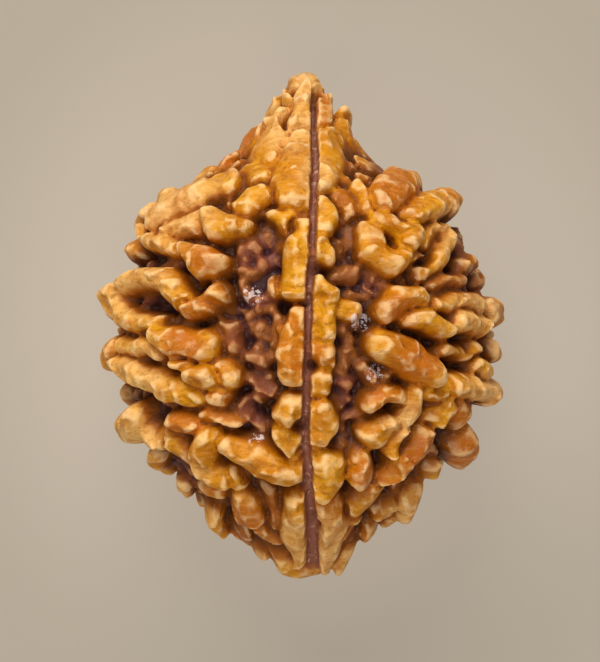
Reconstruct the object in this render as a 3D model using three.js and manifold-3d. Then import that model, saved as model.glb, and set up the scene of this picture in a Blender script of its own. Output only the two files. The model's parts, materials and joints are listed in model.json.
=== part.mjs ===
// Two mukhi rudraksha bead: the woody stone of one fruit, lying on one of its two furrowed faces.
// Millimetres, +Z up. X runs across the bead and Y along it, from the foot to the stem end.
// The stone is one piece: a lemon-shaped core that is covered with blunt lobes, two seams that
// run from tip to tip between rows of ridge blocks, and the string hole from end to end.
import * as THREE from "three";
import { ConvexHull } from "three/addons/math/ConvexHull.js";
import { mergeVertices } from "three/addons/utils/BufferGeometryUtils.js";
import Module from "manifold-3d";

// The envelope that the tops of the lobes reach, measured from the middle of the bead, as
// [y, half-width, half-depth]: a lemon shape with a narrow head at the stem end.
const halfLength = 12.2;
const envelope = [
  [-12.2, 0.5, 0.4], [-11.8, 1.5, 1.3], [-11, 2.2, 2.0], [-10, 3.6, 3.1], [-9, 5.0, 4.0],
  [-8, 5.9, 4.8], [-7, 7.1, 5.5], [-6, 8.0, 6.0], [-4, 8.95, 6.8], [-2, 9.45, 7.3], [0, 9.5, 7.4],
  [2, 9.4, 7.3], [4, 8.4, 6.8], [5.5, 7.8, 6.0], [6.4, 6.9, 5.4], [7.2, 5.2, 4.7], [8, 3.5, 3.9],
  [9, 2.5, 3.0], [10, 1.95, 2.3], [10.6, 1.5, 1.9], [11.2, 1.35, 1.6], [11.8, 1.0, 1.1],
  [12.2, 0.3, 0.3],
];

// How far below that envelope the floor between the lobes lies, at most, and as a share of the
// envelope's own half-width or half-depth near the tips.
const floorInset = { most: 1.9, share: 0.5 };

// How round the lobes are: from the crest, u = 0, to the foot, u = 1, a lobe falls by its
// half-width times rise * (1 - (1 - u^power)^(1/root)), and from there its skirt runs out.
const lobeFall = { power: 2.8, root: 2, rise: 1.2, skirt: 1.28 };

// The crevice between two lobes: how much of their difference in height it takes in, its depth,
// and how fast it closes.
const crevice = { reach: 0.4, depth: 0.65, power: 1.5 };

// Where the skin's corners lie: along each crest, on the shoulder round it, at its foot, down in
// the valley where the next lobe begins, and evenly over what is left of the floor.
const corners = { step: 0.7, shoulder: 0.66, search: 0.09, gap: 0.31, floorCount: 2400, floorGap: 0.8 };
// Each corner is raised or lowered by up to roughness, and none lies past tipMargin of the length.
const roughness = 0.05;
const tipMargin = 0.985;

// The seam between the ridge blocks of each furrow, as [y, x] along its line, cut from seamOuter
// down to seamDepth below the envelope, or to seamLowest at the tips. The string hole crosses it.
const seamWidth = 0.36;
const seamDepth = 1.15;
const seamOuter = 9;
const seamLowest = 0.9;
const seamSteps = 30;
const seamEnds = { foot: -12.6, stem: 11.53 };
const seamLine = [[-12.6, 0.5], [-9, 0.32], [-5, 0.1], [0, 0.22], [4, 0.42], [8, 0.52], [12, 0.5]];
const holeRadius = 0.5;
const holeSides = 10;
const holeEnds = { foot: [0.55, -13, 0], stem: [-0.1, 13, -0.1] };

// The bead lies on small flats, worn where the lobes of the lower face reach furthest down.
const restLevel = -6.95;

// The lobes of a furrowed face, each as [lift, [x, y, half-width], ...]: the line that its crest
// follows and how far its top stands above the envelope, or below it where it is sunk. The widths
// are as seen from above, and on the sloping envelope a lobe grows wider by up to mostStretch.
const mostStretch = 1.45;
const slopeStep = 0.3;
const headLobes = [
  [0.3, [0.3, 11.3, 0.36], [-0.05, 10.45, 0.66], [-0.2, 9.85, 0.74]],
  [0.2, [0.75, 11.3, 0.34], [0.98, 10.4, 0.54], [1.0, 9.8, 0.48]],
  [0.1, [-1.0, 10.0, 0.6], [-1.3, 9.3, 0.85], [-1.5, 8.4, 0.6], [-1.45, 7.7, 0.36]],
  [0.4, [-0.1, 8.75, 0.55], [-0.4, 7.8, 0.9], [-0.5, 6.7, 0.85], [-0.55, 6.0, 0.75]],
  [0.3, [1.2, 9.1, 0.42], [1.3, 8.5, 0.62], [1.1, 7.5, 0.52], [0.9, 6.5, 0.34]],
  [-0.5, [1.95, 8.9, 0.36], [1.9, 7.9, 0.44], [1.75, 7.2, 0.36]],
];

const ridgeLobes = [
  [0.3, [-0.2, 4.75, 0.5], [-0.4, 3.6, 0.62], [-0.45, 2.4, 0.6], [-0.5, 1.75, 0.56]],
  [-0.4, [-1.4, 2.2, 0.42], [-1.3, 1.6, 0.4]],
  [0.3, [-0.3, 0.5, 0.42], [-0.55, -0.6, 0.6], [-0.65, -1.6, 0.62], [-0.7, -2.3, 0.6]],
  [-0.6, [-1.3, 0.3, 0.34], [-1.4, -0.8, 0.34]],
  [0.3, [-0.55, -3.6, 0.55], [-0.95, -4.4, 0.62]],
  [0.25, [-1.1, -5.1, 0.45], [-0.4, -5.6, 0.5]],
  [0.35, [-3.5, -5.85, 0.5], [-2.5, -6.2, 0.58], [-1.3, -6.9, 0.7], [-0.5, -7.0, 0.65]],
  [0.3, [-0.4, -8.4, 0.5], [-0.4, -9.6, 0.56], [-0.1, -11.4, 0.36]],
  [0.2, [0.85, 5.7, 0.36], [1.1, 5.0, 0.46], [1.1, 4.5, 0.36]],
  [0.25, [0.9, 3.8, 0.42], [1.15, 3.4, 0.48]],
  [0.25, [0.7, 2.2, 0.3], [1.1, 1.4, 0.55], [1.1, 0.5, 0.46], [1.0, -0.4, 0.42]],
  [0.25, [0.9, -1.2, 0.48], [1.1, -1.8, 0.5]],
  [0.2, [0.9, -2.6, 0.45], [0.85, -3.1, 0.45]],
  [0.25, [0.85, -4.0, 0.48], [1.15, -4.8, 0.7], [0.9, -5.4, 0.4]],
  [0.35, [0.8, -6.4, 0.55], [1.3, -7.0, 0.75], [0.9, -7.8, 0.45]],
  [0.3, [1.2, -8.7, 0.55], [1.55, -9.3, 0.72], [1.2, -10.3, 0.44], [1.0, -11.3, 0.34]],
];

const leftLobes = [
  [0.45, [-2.2, 9.0, 0.45], [-2.7, 8.8, 0.45]],
  [-0.1, [-2.3, 8.15, 0.58], [-2.85, 7.9, 0.6]],
  [0.35, [-3.35, 8.0, 0.45], [-3.8, 7.75, 0.5]],
  [0.1, [-7.3, 5.1, 0.8], [-6.3, 5.8, 1.15], [-5.1, 6.5, 1.05]],
  [0.1, [-4.9, 6.7, 0.95], [-3.7, 6.95, 0.75]],
  [-0.05, [-6.6, 4.9, 0.75], [-5.4, 5.2, 0.85]],
  [0.1, [-7.9, 4.6, 0.42], [-7.0, 4.0, 0.5], [-5.9, 3.7, 0.45]],
  [0.4, [-5.7, 3.6, 0.45], [-4.95, 3.1, 0.78], [-4.25, 2.95, 0.6]],
  [0.3, [-4.5, 5.35, 0.48], [-4.0, 4.85, 0.82], [-2.95, 4.75, 0.45]],
  [0, [-2.9, 5.7, 0.62], [-1.95, 6.45, 0.68]],
  [-0.9, [-1.95, 5.15, 0.56], [-1.5, 4.9, 0.5]],
  [-0.7, [-3.1, 3.75, 0.6], [-2.4, 3.8, 0.65]],
  [-1.2, [-1.8, 3.4, 0.6], [-1.45, 3.0, 0.5]],
  [-1.1, [-3.1, 2.4, 0.45], [-2.4, 2.3, 0.5]],
  [-1.0, [-2.7, 1.3, 0.5], [-2.0, 1.5, 0.5]],
  [-1.2, [-3.3, 0.95, 0.42], [-2.9, 0.5, 0.45]],
  [-0.6, [-3.85, 0.0, 0.5], [-3.5, -1.1, 0.52]],
  [-0.9, [-2.55, -0.3, 0.5], [-1.8, -0.6, 0.48]],
  [-0.6, [-2.6, -1.6, 0.44], [-2.0, -1.7, 0.44]],
  [-0.7, [-2.8, -2.8, 0.5], [-1.7, -3.2, 0.46]],
  [-0.8, [-3.0, -4.0, 0.5], [-2.6, -4.7, 0.55], [-2.2, -5.2, 0.44]],
  [0.1, [-9.0, 1.95, 0.6], [-7.9, 2.35, 0.65], [-6.9, 2.15, 0.72], [-6.0, 1.2, 0.82]],
  [0.2, [-5.5, 0.8, 0.55], [-4.8, 0.95, 0.6], [-4.2, 1.5, 0.68]],
  [-0.1, [-9.2, 1.2, 0.62], [-8.9, 0.45, 0.58], [-8.0, 0.1, 0.52], [-7.2, 0.15, 0.42]],
  [0.2, [-6.9, -0.5, 0.5], [-6.0, -0.9, 0.8], [-4.9, -1.0, 0.8]],
  [0.1, [-6.2, -1.65, 0.42], [-5.4, -1.75, 0.46]],
  [-0.1, [-9.1, -0.95, 0.55], [-8.0, -0.95, 0.6], [-7.2, -1.3, 0.46]],
  [0.1, [-9.1, -1.95, 0.56], [-7.8, -2.5, 0.68], [-6.3, -3.1, 0.78], [-5.2, -3.5, 0.6]],
  [-0.2, [-5.0, -4.15, 0.44], [-4.2, -4.3, 0.5], [-3.6, -4.5, 0.48]],
  [0.4, [-5.2, -2.35, 0.58], [-4.6, -2.5, 0.64]],
  [0.2, [-3.9, -2.1, 0.54], [-3.5, -2.5, 0.5]],
  [0, [-4.3, -3.35, 0.5], [-3.9, -3.35, 0.5]],
  [0.1, [-6.2, -4.65, 0.58], [-5.4, -4.8, 0.6]],
  [-0.2, [-6.5, -5.75, 0.75], [-5.8, -6.4, 0.8]],
  [0.3, [-4.4, -5.35, 0.58], [-4.8, -6.2, 0.68], [-4.7, -6.9, 0.64], [-4.0, -7.3, 0.5]],
  [-0.2, [-3.4, -7.1, 0.32], [-3.0, -7.8, 0.4]],
  [-0.2, [-4.7, -7.95, 0.5], [-4.0, -8.1, 0.5]],
  [0.25, [-3.0, -8.7, 0.65], [-2.7, -9.3, 0.9]],
  [-0.5, [-1.75, -8.1, 0.5], [-1.5, -9.2, 0.5], [-1.3, -10.1, 0.42]],
  [-0.2, [-1.8, -10.2, 0.46], [-1.1, -11.1, 0.44]],
];

const rightLobes = [
  [-0.3, [2.35, 8.2, 0.42], [2.9, 8.0, 0.4]],
  [-0.3, [2.35, 7.45, 0.42], [2.75, 7.3, 0.4]],
  [0.5, [3.7, 5.8, 0.7], [4.3, 6.5, 0.88], [4.75, 6.95, 0.74]],
  [0.3, [5.05, 5.3, 0.6], [5.8, 5.75, 0.82], [6.35, 6.1, 0.76]],
  [0.05, [2.65, 6.6, 0.5], [3.0, 6.0, 0.5], [3.1, 5.6, 0.4]],
  [-0.3, [1.75, 6.4, 0.48], [2.1, 5.8, 0.58], [2.3, 5.4, 0.44]],
  [0.45, [3.5, 5.0, 0.3], [4.4, 4.85, 0.5], [5.1, 4.5, 0.62], [4.9, 4.0, 0.45]],
  [0.15, [3.2, 4.4, 0.55], [3.5, 3.6, 0.74], [4.2, 3.0, 0.6], [4.75, 3.3, 0.4]],
  [-0.2, [5.8, 4.1, 0.58], [6.4, 4.6, 0.68], [7.0, 4.8, 0.5]],
  [-0.15, [7.3, 4.3, 0.46], [6.9, 3.6, 0.55], [6.2, 3.0, 0.6], [5.65, 2.6, 0.58]],
  [-0.9, [2.4, 5.0, 0.5], [2.3, 4.1, 0.5]],
  [-0.75, [1.75, 2.6, 0.65], [2.6, 2.6, 0.78]],
  [-0.9, [3.3, 2.0, 0.5], [3.6, 1.75, 0.44]],
  [-1.0, [2.0, 1.3, 0.42], [3.2, 1.2, 0.44]],
  [-1.3, [2.5, 0.2, 0.44], [3.2, 0.1, 0.4]],
  [0.3, [4.05, 0.7, 0.55], [4.7, 1.15, 0.82], [5.5, 1.3, 0.68]],
  [-0.45, [6.3, 1.9, 0.45], [7.1, 2.25, 0.58], [7.9, 2.3, 0.52]],
  [-0.1, [6.5, 1.0, 0.46], [7.6, 1.2, 0.56], [8.8, 1.0, 0.6]],
  [0, [7.5, 0.2, 0.52], [8.7, 0, 0.66]],
  [0.15, [5.1, 0.3, 0.42], [6.0, 0.1, 0.56], [6.9, -0.15, 0.54]],
  [0.55, [3.8, -0.75, 0.85], [4.6, -1.2, 0.92], [5.6, -1.9, 0.98], [6.0, -2.2, 0.85]],
  [-0.35, [6.9, -1.3, 0.5], [7.7, -1.4, 0.6], [8.7, -1.2, 0.56]],
  [0.35, [7.3, -2.8, 0.58], [8.2, -3.0, 0.72], [9.0, -3.3, 0.55]],
  [0.05, [6.1, -3.25, 0.44], [6.7, -3.0, 0.5]],
  [0.15, [6.9, -3.75, 0.44], [6.4, -4.4, 0.58]],
  [-0.8, [2.2, -1.0, 0.45], [2.1, -1.9, 0.42]],
  [-0.9, [1.85, -0.15, 0.44], [2.3, -0.55, 0.42]],
  [-0.5, [3.0, -2.1, 0.45], [3.5, -2.7, 0.45]],
  [-1.4, [1.9, -2.8, 0.4], [2.3, -3.4, 0.42]],
  [0, [3.2, -3.6, 0.48], [4.0, -3.3, 0.5], [4.6, -3.4, 0.46]],
  [0.1, [5.45, -3.3, 0.4], [5.3, -4.0, 0.5], [4.9, -4.5, 0.46]],
  [-0.9, [2.0, -4.9, 0.4], [2.9, -4.4, 0.42]],
  [0.2, [3.85, -4.85, 0.58], [3.4, -5.45, 0.72]],
  [0.05, [4.8, -5.2, 0.44], [4.5, -5.9, 0.5]],
  [0.25, [2.8, -6.6, 0.66], [2.8, -7.3, 0.7]],
  [0.15, [6.0, -5.3, 0.62], [5.6, -6.1, 0.74], [4.7, -6.9, 0.68], [4.1, -7.4, 0.5]],
  [-0.1, [3.4, -8.0, 0.46], [2.9, -8.5, 0.56], [2.35, -9.1, 0.46]],
  [-0.3, [2.4, -9.8, 0.4], [1.9, -10.4, 0.4]],
];

// The lobes round the sides, where the two faces meet, as [lift, [x, y, z, half-width], ...]. The
// last ones lie low in the notches of the outline.
const sideLobes = [
  [-0.1, [-0.85, 11.2, 0.4, 0.4], [-0.6, 11.6, -0.5, 0.45]],
  [-0.1, [0.9, 11.2, 0.4, 0.4], [0.7, 11.6, -0.5, 0.45]],
  [0.4, [1.7, 9.9, 0.3, 0.42], [1.9, 9.7, -0.4, 0.4]],
  [0.1, [-1.9, 9.6, 0.3, 0.4], [-2.0, 9.5, -0.3, 0.4]],
  [0.1, [-4.2, 7.6, 1.6, 0.65], [-4.3, 7.4, 0.4, 0.7]],
  [0.1, [-5.9, 6.4, 1.4, 0.8], [-5.7, 6.5, -0.6, 0.85]],
  [0.25, [6.5, 6.0, 1.5, 0.72], [6.2, 6.2, 0.1, 0.78], [6.1, 6.2, -1.2, 0.7]],
  [0.35, [4.9, 7.1, 1.4, 0.6], [4.8, 7.2, 0.1, 0.62]],
  [0, [-8.0, 3.9, 1.3, 0.72], [-7.9, 3.9, -0.8, 0.72]],
  [-0.7, [7.6, 4.4, 1.2, 0.75], [7.7, 4.0, -0.5, 0.8]],
  [-0.8, [8.3, 2.4, 1.4, 0.6], [8.2, 2.2, 0.1, 0.62]],
  [0.3, [-9.2, 1.4, 1.4, 0.95], [-9.3, 1.0, -0.5, 1.1], [-9.3, 1.1, -2.0, 0.8]],
  [0, [9.1, 0.7, 1.3, 0.8], [9.1, 0.5, -0.9, 0.85], [9.0, 0.3, -2.2, 0.7]],
  [0.3, [-9.2, -1.2, 1.5, 0.85], [-9.2, -1.4, 0, 1.0], [-9.1, -1.6, -1.8, 0.8]],
  [0, [9.1, -1.2, 0.9, 0.6], [9.1, -1.4, -0.4, 0.65]],
  [0.45, [9.2, -3.3, 1.4, 0.62], [9.0, -3.3, -0.2, 0.66], [8.9, -3.4, -1.4, 0.5]],
  [0.45, [-7.9, -4.6, 2.2, 0.85], [-8.0, -5.1, 0.6, 1.15], [-7.9, -5.1, -0.6, 1.0]],
  [0.5, [7.3, -5.5, 2.0, 0.68], [7.3, -6.1, 0.7, 0.95], [7.3, -6.2, -0.6, 0.85]],
  [0, [-6.8, -6.5, 1.5, 0.62], [-6.7, -6.8, 0.1, 0.66]],
  [0.5, [4.8, -8.1, 1.8, 0.62], [4.7, -8.9, 0.5, 0.9], [4.7, -8.9, -0.5, 0.8]],
  [-0.1, [-5.0, -7.9, 1.2, 0.6], [-5.2, -8.1, -0.2, 0.66]],
  [0.4, [-3.5, -9.2, 1.2, 0.7], [-3.4, -9.7, 0, 0.75], [-3.3, -9.7, -0.7, 0.6]],
  [0.3, [1.5, -11.0, 0.6, 0.5], [1.4, -11.6, -0.2, 0.6]],
  [-0.9, [2.9, 8.3, 1.6, 0.5], [2.9, 8.3, -0.6, 0.5]],
  [-1.0, [4.0, 7.75, 1.4, 0.45], [3.9, 7.75, -0.8, 0.45]],
  [-1.2, [7.9, 3.3, 1.4, 0.5], [7.9, 3.2, -0.8, 0.5]],
  [-1.1, [8.7, 1.75, 1.2, 0.4], [8.7, 1.6, -0.8, 0.4]],
  [-1.2, [-8.8, -3.0, 1.6, 0.5], [-8.8, -3.1, -1.2, 0.5]],
  [-1.1, [9.0, -2.25, 1.2, 0.4], [9.0, -2.3, -1.0, 0.4]],
  [-1.3, [8.4, -4.5, 1.6, 0.5], [8.4, -4.6, -1.2, 0.5]],
  [-1.2, [6.1, -7.3, 1.4, 0.5], [6.0, -7.4, -1.2, 0.5]],
  [-1.3, [-6.1, -7.3, 1.2, 0.45], [-6.0, -7.4, -1.0, 0.45]],
  [-1.4, [-4.4, -8.9, 1.0, 0.4], [-4.3, -9.0, -0.8, 0.4]],
  [-1.3, [3.5, -10.0, 1.0, 0.55], [3.4, -10.0, -0.8, 0.55]],
  [-0.9, [2.4, -10.7, 0.8, 0.45], [2.4, -10.8, -0.6, 0.45]],
  [-0.9, [-2.5, -10.7, 0.8, 0.5], [-2.4, -10.8, -0.6, 0.5]],
];

// Lobes that are scattered over what the lists leave bare, by the draw: large ones, then the low
// ones that fill the notches between the others.
const scatters = [
  { count: 260, width: [0.65, 0.95], length: [0.6, 1.6], lift: [-0.3, 0.1], cover: 0.1 },
  { count: 300, width: [0.55, 0.8], length: [0.4, 1.2], lift: [-1.1, -0.6], cover: 0.28 },
  { count: 900, width: [0.4, 0.6], length: [0.3, 0.8], lift: [-1.4, -0.9], cover: 0.15 },
];
const scatterTurn = 0.7;

// The second face repeats the first one turned half round, a little narrower and varied by a draw.
const secondFace = { squeeze: 0.88, shift: 0.16, width: 0.1, lift: 0.12, seed: 7 };

const wasm = await Module();
wasm.setup();

// A small seeded generator, so that the bead grows the same way each time.
function seededDraw(seed) {
  let state = seed >>> 0;
  return () => {
    state = (Math.imul(state, 1664525) + 1013904223) >>> 0;
    return state / 4294967296;
  };
}

// The envelope's half-width and half-depth at y, and the depth of the floor below it there.
function envelopeAt(y) {
  const next = THREE.MathUtils.clamp(envelope.findIndex(([end]) => end >= y), 1, envelope.length - 1);
  const [y0, width0, depth0] = envelope[next - 1];
  const [y1, width1, depth1] = envelope[next];
  const t = (y - y0) / (y1 - y0);
  const width = THREE.MathUtils.lerp(width0, width1, t);
  const depth = THREE.MathUtils.lerp(depth0, depth1, t);
  return { width, depth, inset: Math.min(floorInset.most, floorInset.share * Math.min(width, depth)) };
}

// The point of the envelope at a turn round the string hole, and the floor's point below it.
function envelopePoint(y, turn) {
  const { width, depth } = envelopeAt(y);
  return new THREE.Vector3(width * Math.cos(turn), y, depth * Math.sin(turn));
}

function floorPoint(y, turn) {
  const { inset } = envelopeAt(y);
  const level = y * (1 - inset / halfLength);
  const { width, depth } = envelopeAt(level);
  return new THREE.Vector3((width - inset) * Math.cos(turn), level, (depth - inset) * Math.sin(turn));
}

// The turn at which a point lies round the string hole, and the envelope's point over it.
function turnOf(p) {
  const { width, depth } = envelopeAt(p.y);
  return Math.atan2(p.z / depth, p.x / width);
}

function ontoEnvelope(p) {
  const limit = tipMargin * halfLength;
  p.y = THREE.MathUtils.clamp(p.y, -limit, limit);
  return envelopePoint(p.y, turnOf(p));
}

// A lobe: its crest's nodes on the envelope, and a ball that encloses it.
function lobeFrom(lift, nodes) {
  const ball = new THREE.Sphere().setFromPoints(nodes.map(({ point }) => point));
  ball.radius += lobeFall.skirt * Math.max(...nodes.map(({ width }) => width));
  return { lift, nodes, ball };
}

// The share of the envelope's half-width that x reaches at y, and the height that it has there.
function reachAt(x, y) {
  return THREE.MathUtils.clamp(x / envelopeAt(y).width, -0.999, 0.999);
}

function riseAt(x, y) {
  const level = THREE.MathUtils.clamp(y, -halfLength, halfLength);
  return envelopeAt(level).depth * Math.sqrt(1 - reachAt(x, level) ** 2);
}

// How much longer a step across a lobe is on the sloping envelope than as seen from above.
function stretchAt(x, y, across) {
  const [stepX, stepY] = across.map((part) => part * slopeStep);
  const climb = riseAt(x + stepX, y + stepY) - riseAt(x - stepX, y - stepY);
  return Math.min(mostStretch, Math.hypot(1, climb / (2 * slopeStep)));
}

// A lobe of a furrowed face. The face is +1 for the upper one and -1 for the lower one.
function faceLobe([lift, ...line], face) {
  const [startX, startY] = line[0];
  const [endX, endY] = line[line.length - 1];
  const long = Math.hypot(endX - startX, endY - startY);
  const across = [(startY - endY) / long, (endX - startX) / long];
  return lobeFrom(lift, line.map(([x, y, width]) => {
    const turn = Math.acos(reachAt(x, y));
    const point = envelopePoint(y, face > 0 ? turn : turn + Math.PI);
    return { point, width: width * stretchAt(x, y, across) };
  }));
}

function sideLobe([lift, ...line]) {
  return lobeFrom(lift, line.map(([x, y, z, width]) => {
    return { point: ontoEnvelope(new THREE.Vector3(x, y, z)), width };
  }));
}

// The same lobe for the second face, moved and resized by the draw before it is turned over.
function varied([lift, ...line], draw) {
  const spread = (amount) => amount * (2 * draw() - 1);
  const shiftX = spread(secondFace.shift);
  const shiftY = spread(secondFace.shift);
  const grow = 1 + spread(secondFace.width);
  const moved = line.map(([x, y, width]) => {
    return [secondFace.squeeze * x + shiftX, y + shiftY, width * grow];
  });
  return [Math.min(0.2, lift + spread(secondFace.lift)), ...moved];
}

// How high one lobe stands over the floor at a point of the envelope.
function lobeHeight(point, { lift, nodes, ball }) {
  if (ball.center.distanceTo(point) > ball.radius) return 0;
  const nearest = new THREE.Vector3();
  let share = Infinity;
  let width = 0;
  for (let i = 0; i + 1 < nodes.length; i++) {
    const line = new THREE.Line3(nodes[i].point, nodes[i + 1].point);
    const t = line.closestPointToPointParameter(point, true);
    const halfWidth = THREE.MathUtils.lerp(nodes[i].width, nodes[i + 1].width, t);
    const gap = line.at(t, nearest).distanceTo(point) / halfWidth;
    if (gap < share) [share, width] = [gap, halfWidth];
  }
  const dome = (1 - Math.min(share, 1) ** lobeFall.power) ** (1 / lobeFall.root);
  const height = envelopeAt(point.y).inset + lift - lobeFall.rise * width * (1 - dome);
  const skirt = (lobeFall.skirt - share) / (lobeFall.skirt - 1);
  return height * THREE.MathUtils.clamp(skirt, 0, 1);
}

const highestAt = (point, lobes) => Math.max(0, ...lobes.map((lobe) => lobeHeight(point, lobe)));

// The height of the skin over the floor: the highest lobe, less the crevice next to the second.
function reliefAt(point, lobes) {
  const heights = lobes.map((lobe) => lobeHeight(point, lobe)).sort((a, b) => b - a);
  const apart = THREE.MathUtils.clamp((heights[0] - heights[1]) / crevice.reach, 0, 1);
  const depth = crevice.depth * Math.min(1, envelopeAt(point.y).inset / floorInset.most);
  return Math.max(0, heights[0] - depth * (1 - apart) ** crevice.power);
}

// Points spread evenly over the envelope, turned by the golden angle from one to the next.
function evenPoints(count) {
  const golden = Math.PI * (3 - Math.sqrt(5));
  return Array.from({ length: count }, (_, i) => {
    const y = tipMargin * halfLength * (1 - (2 * i + 1) / count);
    return envelopePoint(y, (golden * i) % (2 * Math.PI));
  });
}

// One more lobe wherever the envelope is still bare, lying roughly round the bead.
function scatterLobes(lobes, draw) {
  for (const { count, width, length, lift, cover } of scatters) {
    for (const centre of evenPoints(count)) {
      if (highestAt(centre, lobes) > cover * envelopeAt(centre.y).inset) continue;
      const half = THREE.MathUtils.lerp(...length, draw()) / 2;
      const turn = scatterTurn * (2 * draw() - 1);
      const round = new THREE.Vector3(-centre.z, 0, centre.x).normalize();
      const way = round.multiplyScalar(Math.cos(turn)).setY(Math.sin(turn)).multiplyScalar(half);
      const across = THREE.MathUtils.lerp(...width, draw());
      const nodes = [centre.clone().sub(way), centre.clone().add(way)].map((end) => {
        return { point: ontoEnvelope(end), width: across };
      });
      lobes.push(lobeFrom(THREE.MathUtils.lerp(...lift, draw()), nodes));
    }
  }
}

// Stations along a lobe's crest, each with the directions in which the lobe falls away there.
function crestStations({ nodes }) {
  const stations = [];
  nodes.slice(1).forEach(({ point: end, width: endWidth }, i) => {
    const { point: start, width: startWidth } = nodes[i];
    const ahead = end.clone().sub(start);
    const steps = Math.max(1, Math.round(ahead.length() / corners.step));
    ahead.normalize();
    const last = i === nodes.length - 2 ? steps : steps - 1;
    for (let k = 0; k <= last; k++) {
      const centre = start.clone().lerp(end, k / steps);
      const width = THREE.MathUtils.lerp(startWidth, endWidth, k / steps);
      const { width: across, depth } = envelopeAt(centre.y);
      const outward = new THREE.Vector3(
        centre.x / across ** 2, centre.y / halfLength ** 2, centre.z / depth ** 2);
      const aside = ahead.clone().cross(outward).normalize();
      const turns = [90, 270];
      if (i === 0 && k === 0) turns.push(142, 180, 218);
      if (i === nodes.length - 2 && k === steps) turns.push(38, 0, 322);
      const ways = turns.map((degrees) => {
        const angle = THREE.MathUtils.degToRad(degrees);
        return ahead.clone().multiplyScalar(Math.cos(angle)).addScaledVector(aside, Math.sin(angle));
      });
      stations.push({ centre, width, ways });
    }
  });
  return stations;
}

// The corners of one lobe: its crest, its shoulder and the bottom of the valley round it.
function lobeCorners(lobe, lobes) {
  const others = lobes.filter((other) => other !== lobe
    && other.ball.center.distanceTo(lobe.ball.center) < other.ball.radius + lobe.ball.radius);
  const stands = (p) => lobeHeight(p, lobe) >= highestAt(p, others);
  const found = [];
  for (const { centre, width, ways } of crestStations(lobe)) {
    const crest = ontoEnvelope(centre.clone());
    if (!stands(crest)) continue;
    found.push(crest);
    for (const way of ways) {
      const along = (share) => ontoEnvelope(centre.clone().addScaledVector(way, share * width));
      let share = corners.search;
      while (share < lobeFall.skirt && stands(along(share))) share += corners.search;
      if (share > corners.shoulder + corners.search) found.push(along(corners.shoulder));
      if (share > 1 + 2 * corners.search) found.push(along(1));
      found.push(along(share));
    }
  }
  return found;
}

// The bead's skin: its corners are joined as the hull of a ball, then set at their own heights.
function skinGeometry(lobes, draw) {
  const kept = [];
  const keep = (point, gap) => {
    if (kept.every((other) => other.distanceTo(point) > gap)) kept.push(point);
  };
  for (const lobe of lobes) {
    for (const point of lobeCorners(lobe, lobes)) keep(point, corners.gap);
  }
  for (const point of evenPoints(corners.floorCount)) keep(point, corners.floorGap);
  const onBall = kept.map((point) => {
    const rise = (Math.PI / 2) * (point.y / halfLength);
    const turn = turnOf(point);
    const ring = Math.cos(rise);
    return new THREE.Vector3(ring * Math.cos(turn), Math.sin(rise), ring * Math.sin(turn));
  });
  const order = new Map(onBall.map((point, i) => [point, i]));
  const index = new ConvexHull().setFromPoints(onBall).faces.flatMap(({ edge }) => {
    return [edge, edge.next, edge.prev].map((side) => order.get(side.head().point));
  });
  const place = kept.flatMap((top) => {
    const height = reliefAt(top, lobes) + roughness * (2 * draw() - 1);
    const floor = floorPoint(top.y, turnOf(top));
    return floor.lerp(top, height / envelopeAt(top.y).inset).toArray();
  });
  return new THREE.BufferGeometry()
    .setAttribute("position", new THREE.Float32BufferAttribute(place, 3))
    .setIndex(index);
}

// The knife that cuts a seam: a thin wall over the furrow, bent along the seam's line.
function seamGeometry() {
  const floorAt = (y) => Math.max(seamLowest, envelopeAt(y).depth - seamDepth);
  const span = seamEnds.stem - seamEnds.foot;
  const shape = new THREE.Shape([new THREE.Vector2(seamEnds.foot, seamOuter)]);
  for (let i = 0; i <= seamSteps; i++) {
    const y = seamEnds.foot + (span * i) / seamSteps;
    shape.lineTo(y, floorAt(y));
  }
  for (let i = 0; i < seamSteps; i++) {
    shape.lineTo(seamEnds.stem - (span * i) / seamSteps, seamOuter);
  }
  const wall = new THREE.ExtrudeGeometry(shape, { depth: seamWidth, bevelEnabled: false });
  const place = wall.getAttribute("position");
  for (let i = 0; i < place.count; i++) {
    const y = place.getX(i);
    const z = place.getY(i);
    place.setXYZ(i, seamAt(y) + place.getZ(i) - seamWidth / 2, y, z);
  }
  return wall;
}

// The seam's x at y.
function seamAt(y) {
  const next = seamLine.findIndex(([end]) => end >= y);
  if (next <= 0) return seamLine[0][1];
  const [y0, x0] = seamLine[next - 1];
  const [y1, x1] = seamLine[next];
  return x0 + ((x1 - x0) * (y - y0)) / (y1 - y0);
}

function stringHoleGeometry() {
  const foot = new THREE.Vector3(...holeEnds.foot);
  const stem = new THREE.Vector3(...holeEnds.stem);
  const along = stem.clone().sub(foot);
  const rod = new THREE.CylinderGeometry(holeRadius, holeRadius, along.length(), holeSides);
  const turn = new THREE.Quaternion().setFromUnitVectors(
    new THREE.Vector3(0, 1, 0), along.clone().normalize());
  rod.applyQuaternion(turn);
  rod.translate(...foot.add(stem).multiplyScalar(0.5).toArray());
  return rod;
}

// A closed mesh as a solid that can be joined and cut, and back.
function toSolid(geometry) {
  const bare = geometry.clone();
  bare.deleteAttribute("normal");
  bare.deleteAttribute("uv");
  const merged = mergeVertices(bare, 1e-4);
  return new wasm.Manifold(new wasm.Mesh({
    numProp: 3,
    vertProperties: merged.getAttribute("position").array,
    triVerts: new Uint32Array(merged.index.array),
  }));
}

function toGeometry(solid) {
  const { vertProperties, triVerts, numProp } = solid.getMesh();
  const place = new Float32Array((vertProperties.length / numProp) * 3);
  for (let i = 0; i * 3 < place.length; i++) {
    place.set(vertProperties.subarray(i * numProp, i * numProp + 3), i * 3);
  }
  return new THREE.BufferGeometry()
    .setAttribute("position", new THREE.BufferAttribute(place, 3))
    .setIndex(new THREE.BufferAttribute(triVerts, 1));
}

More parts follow.
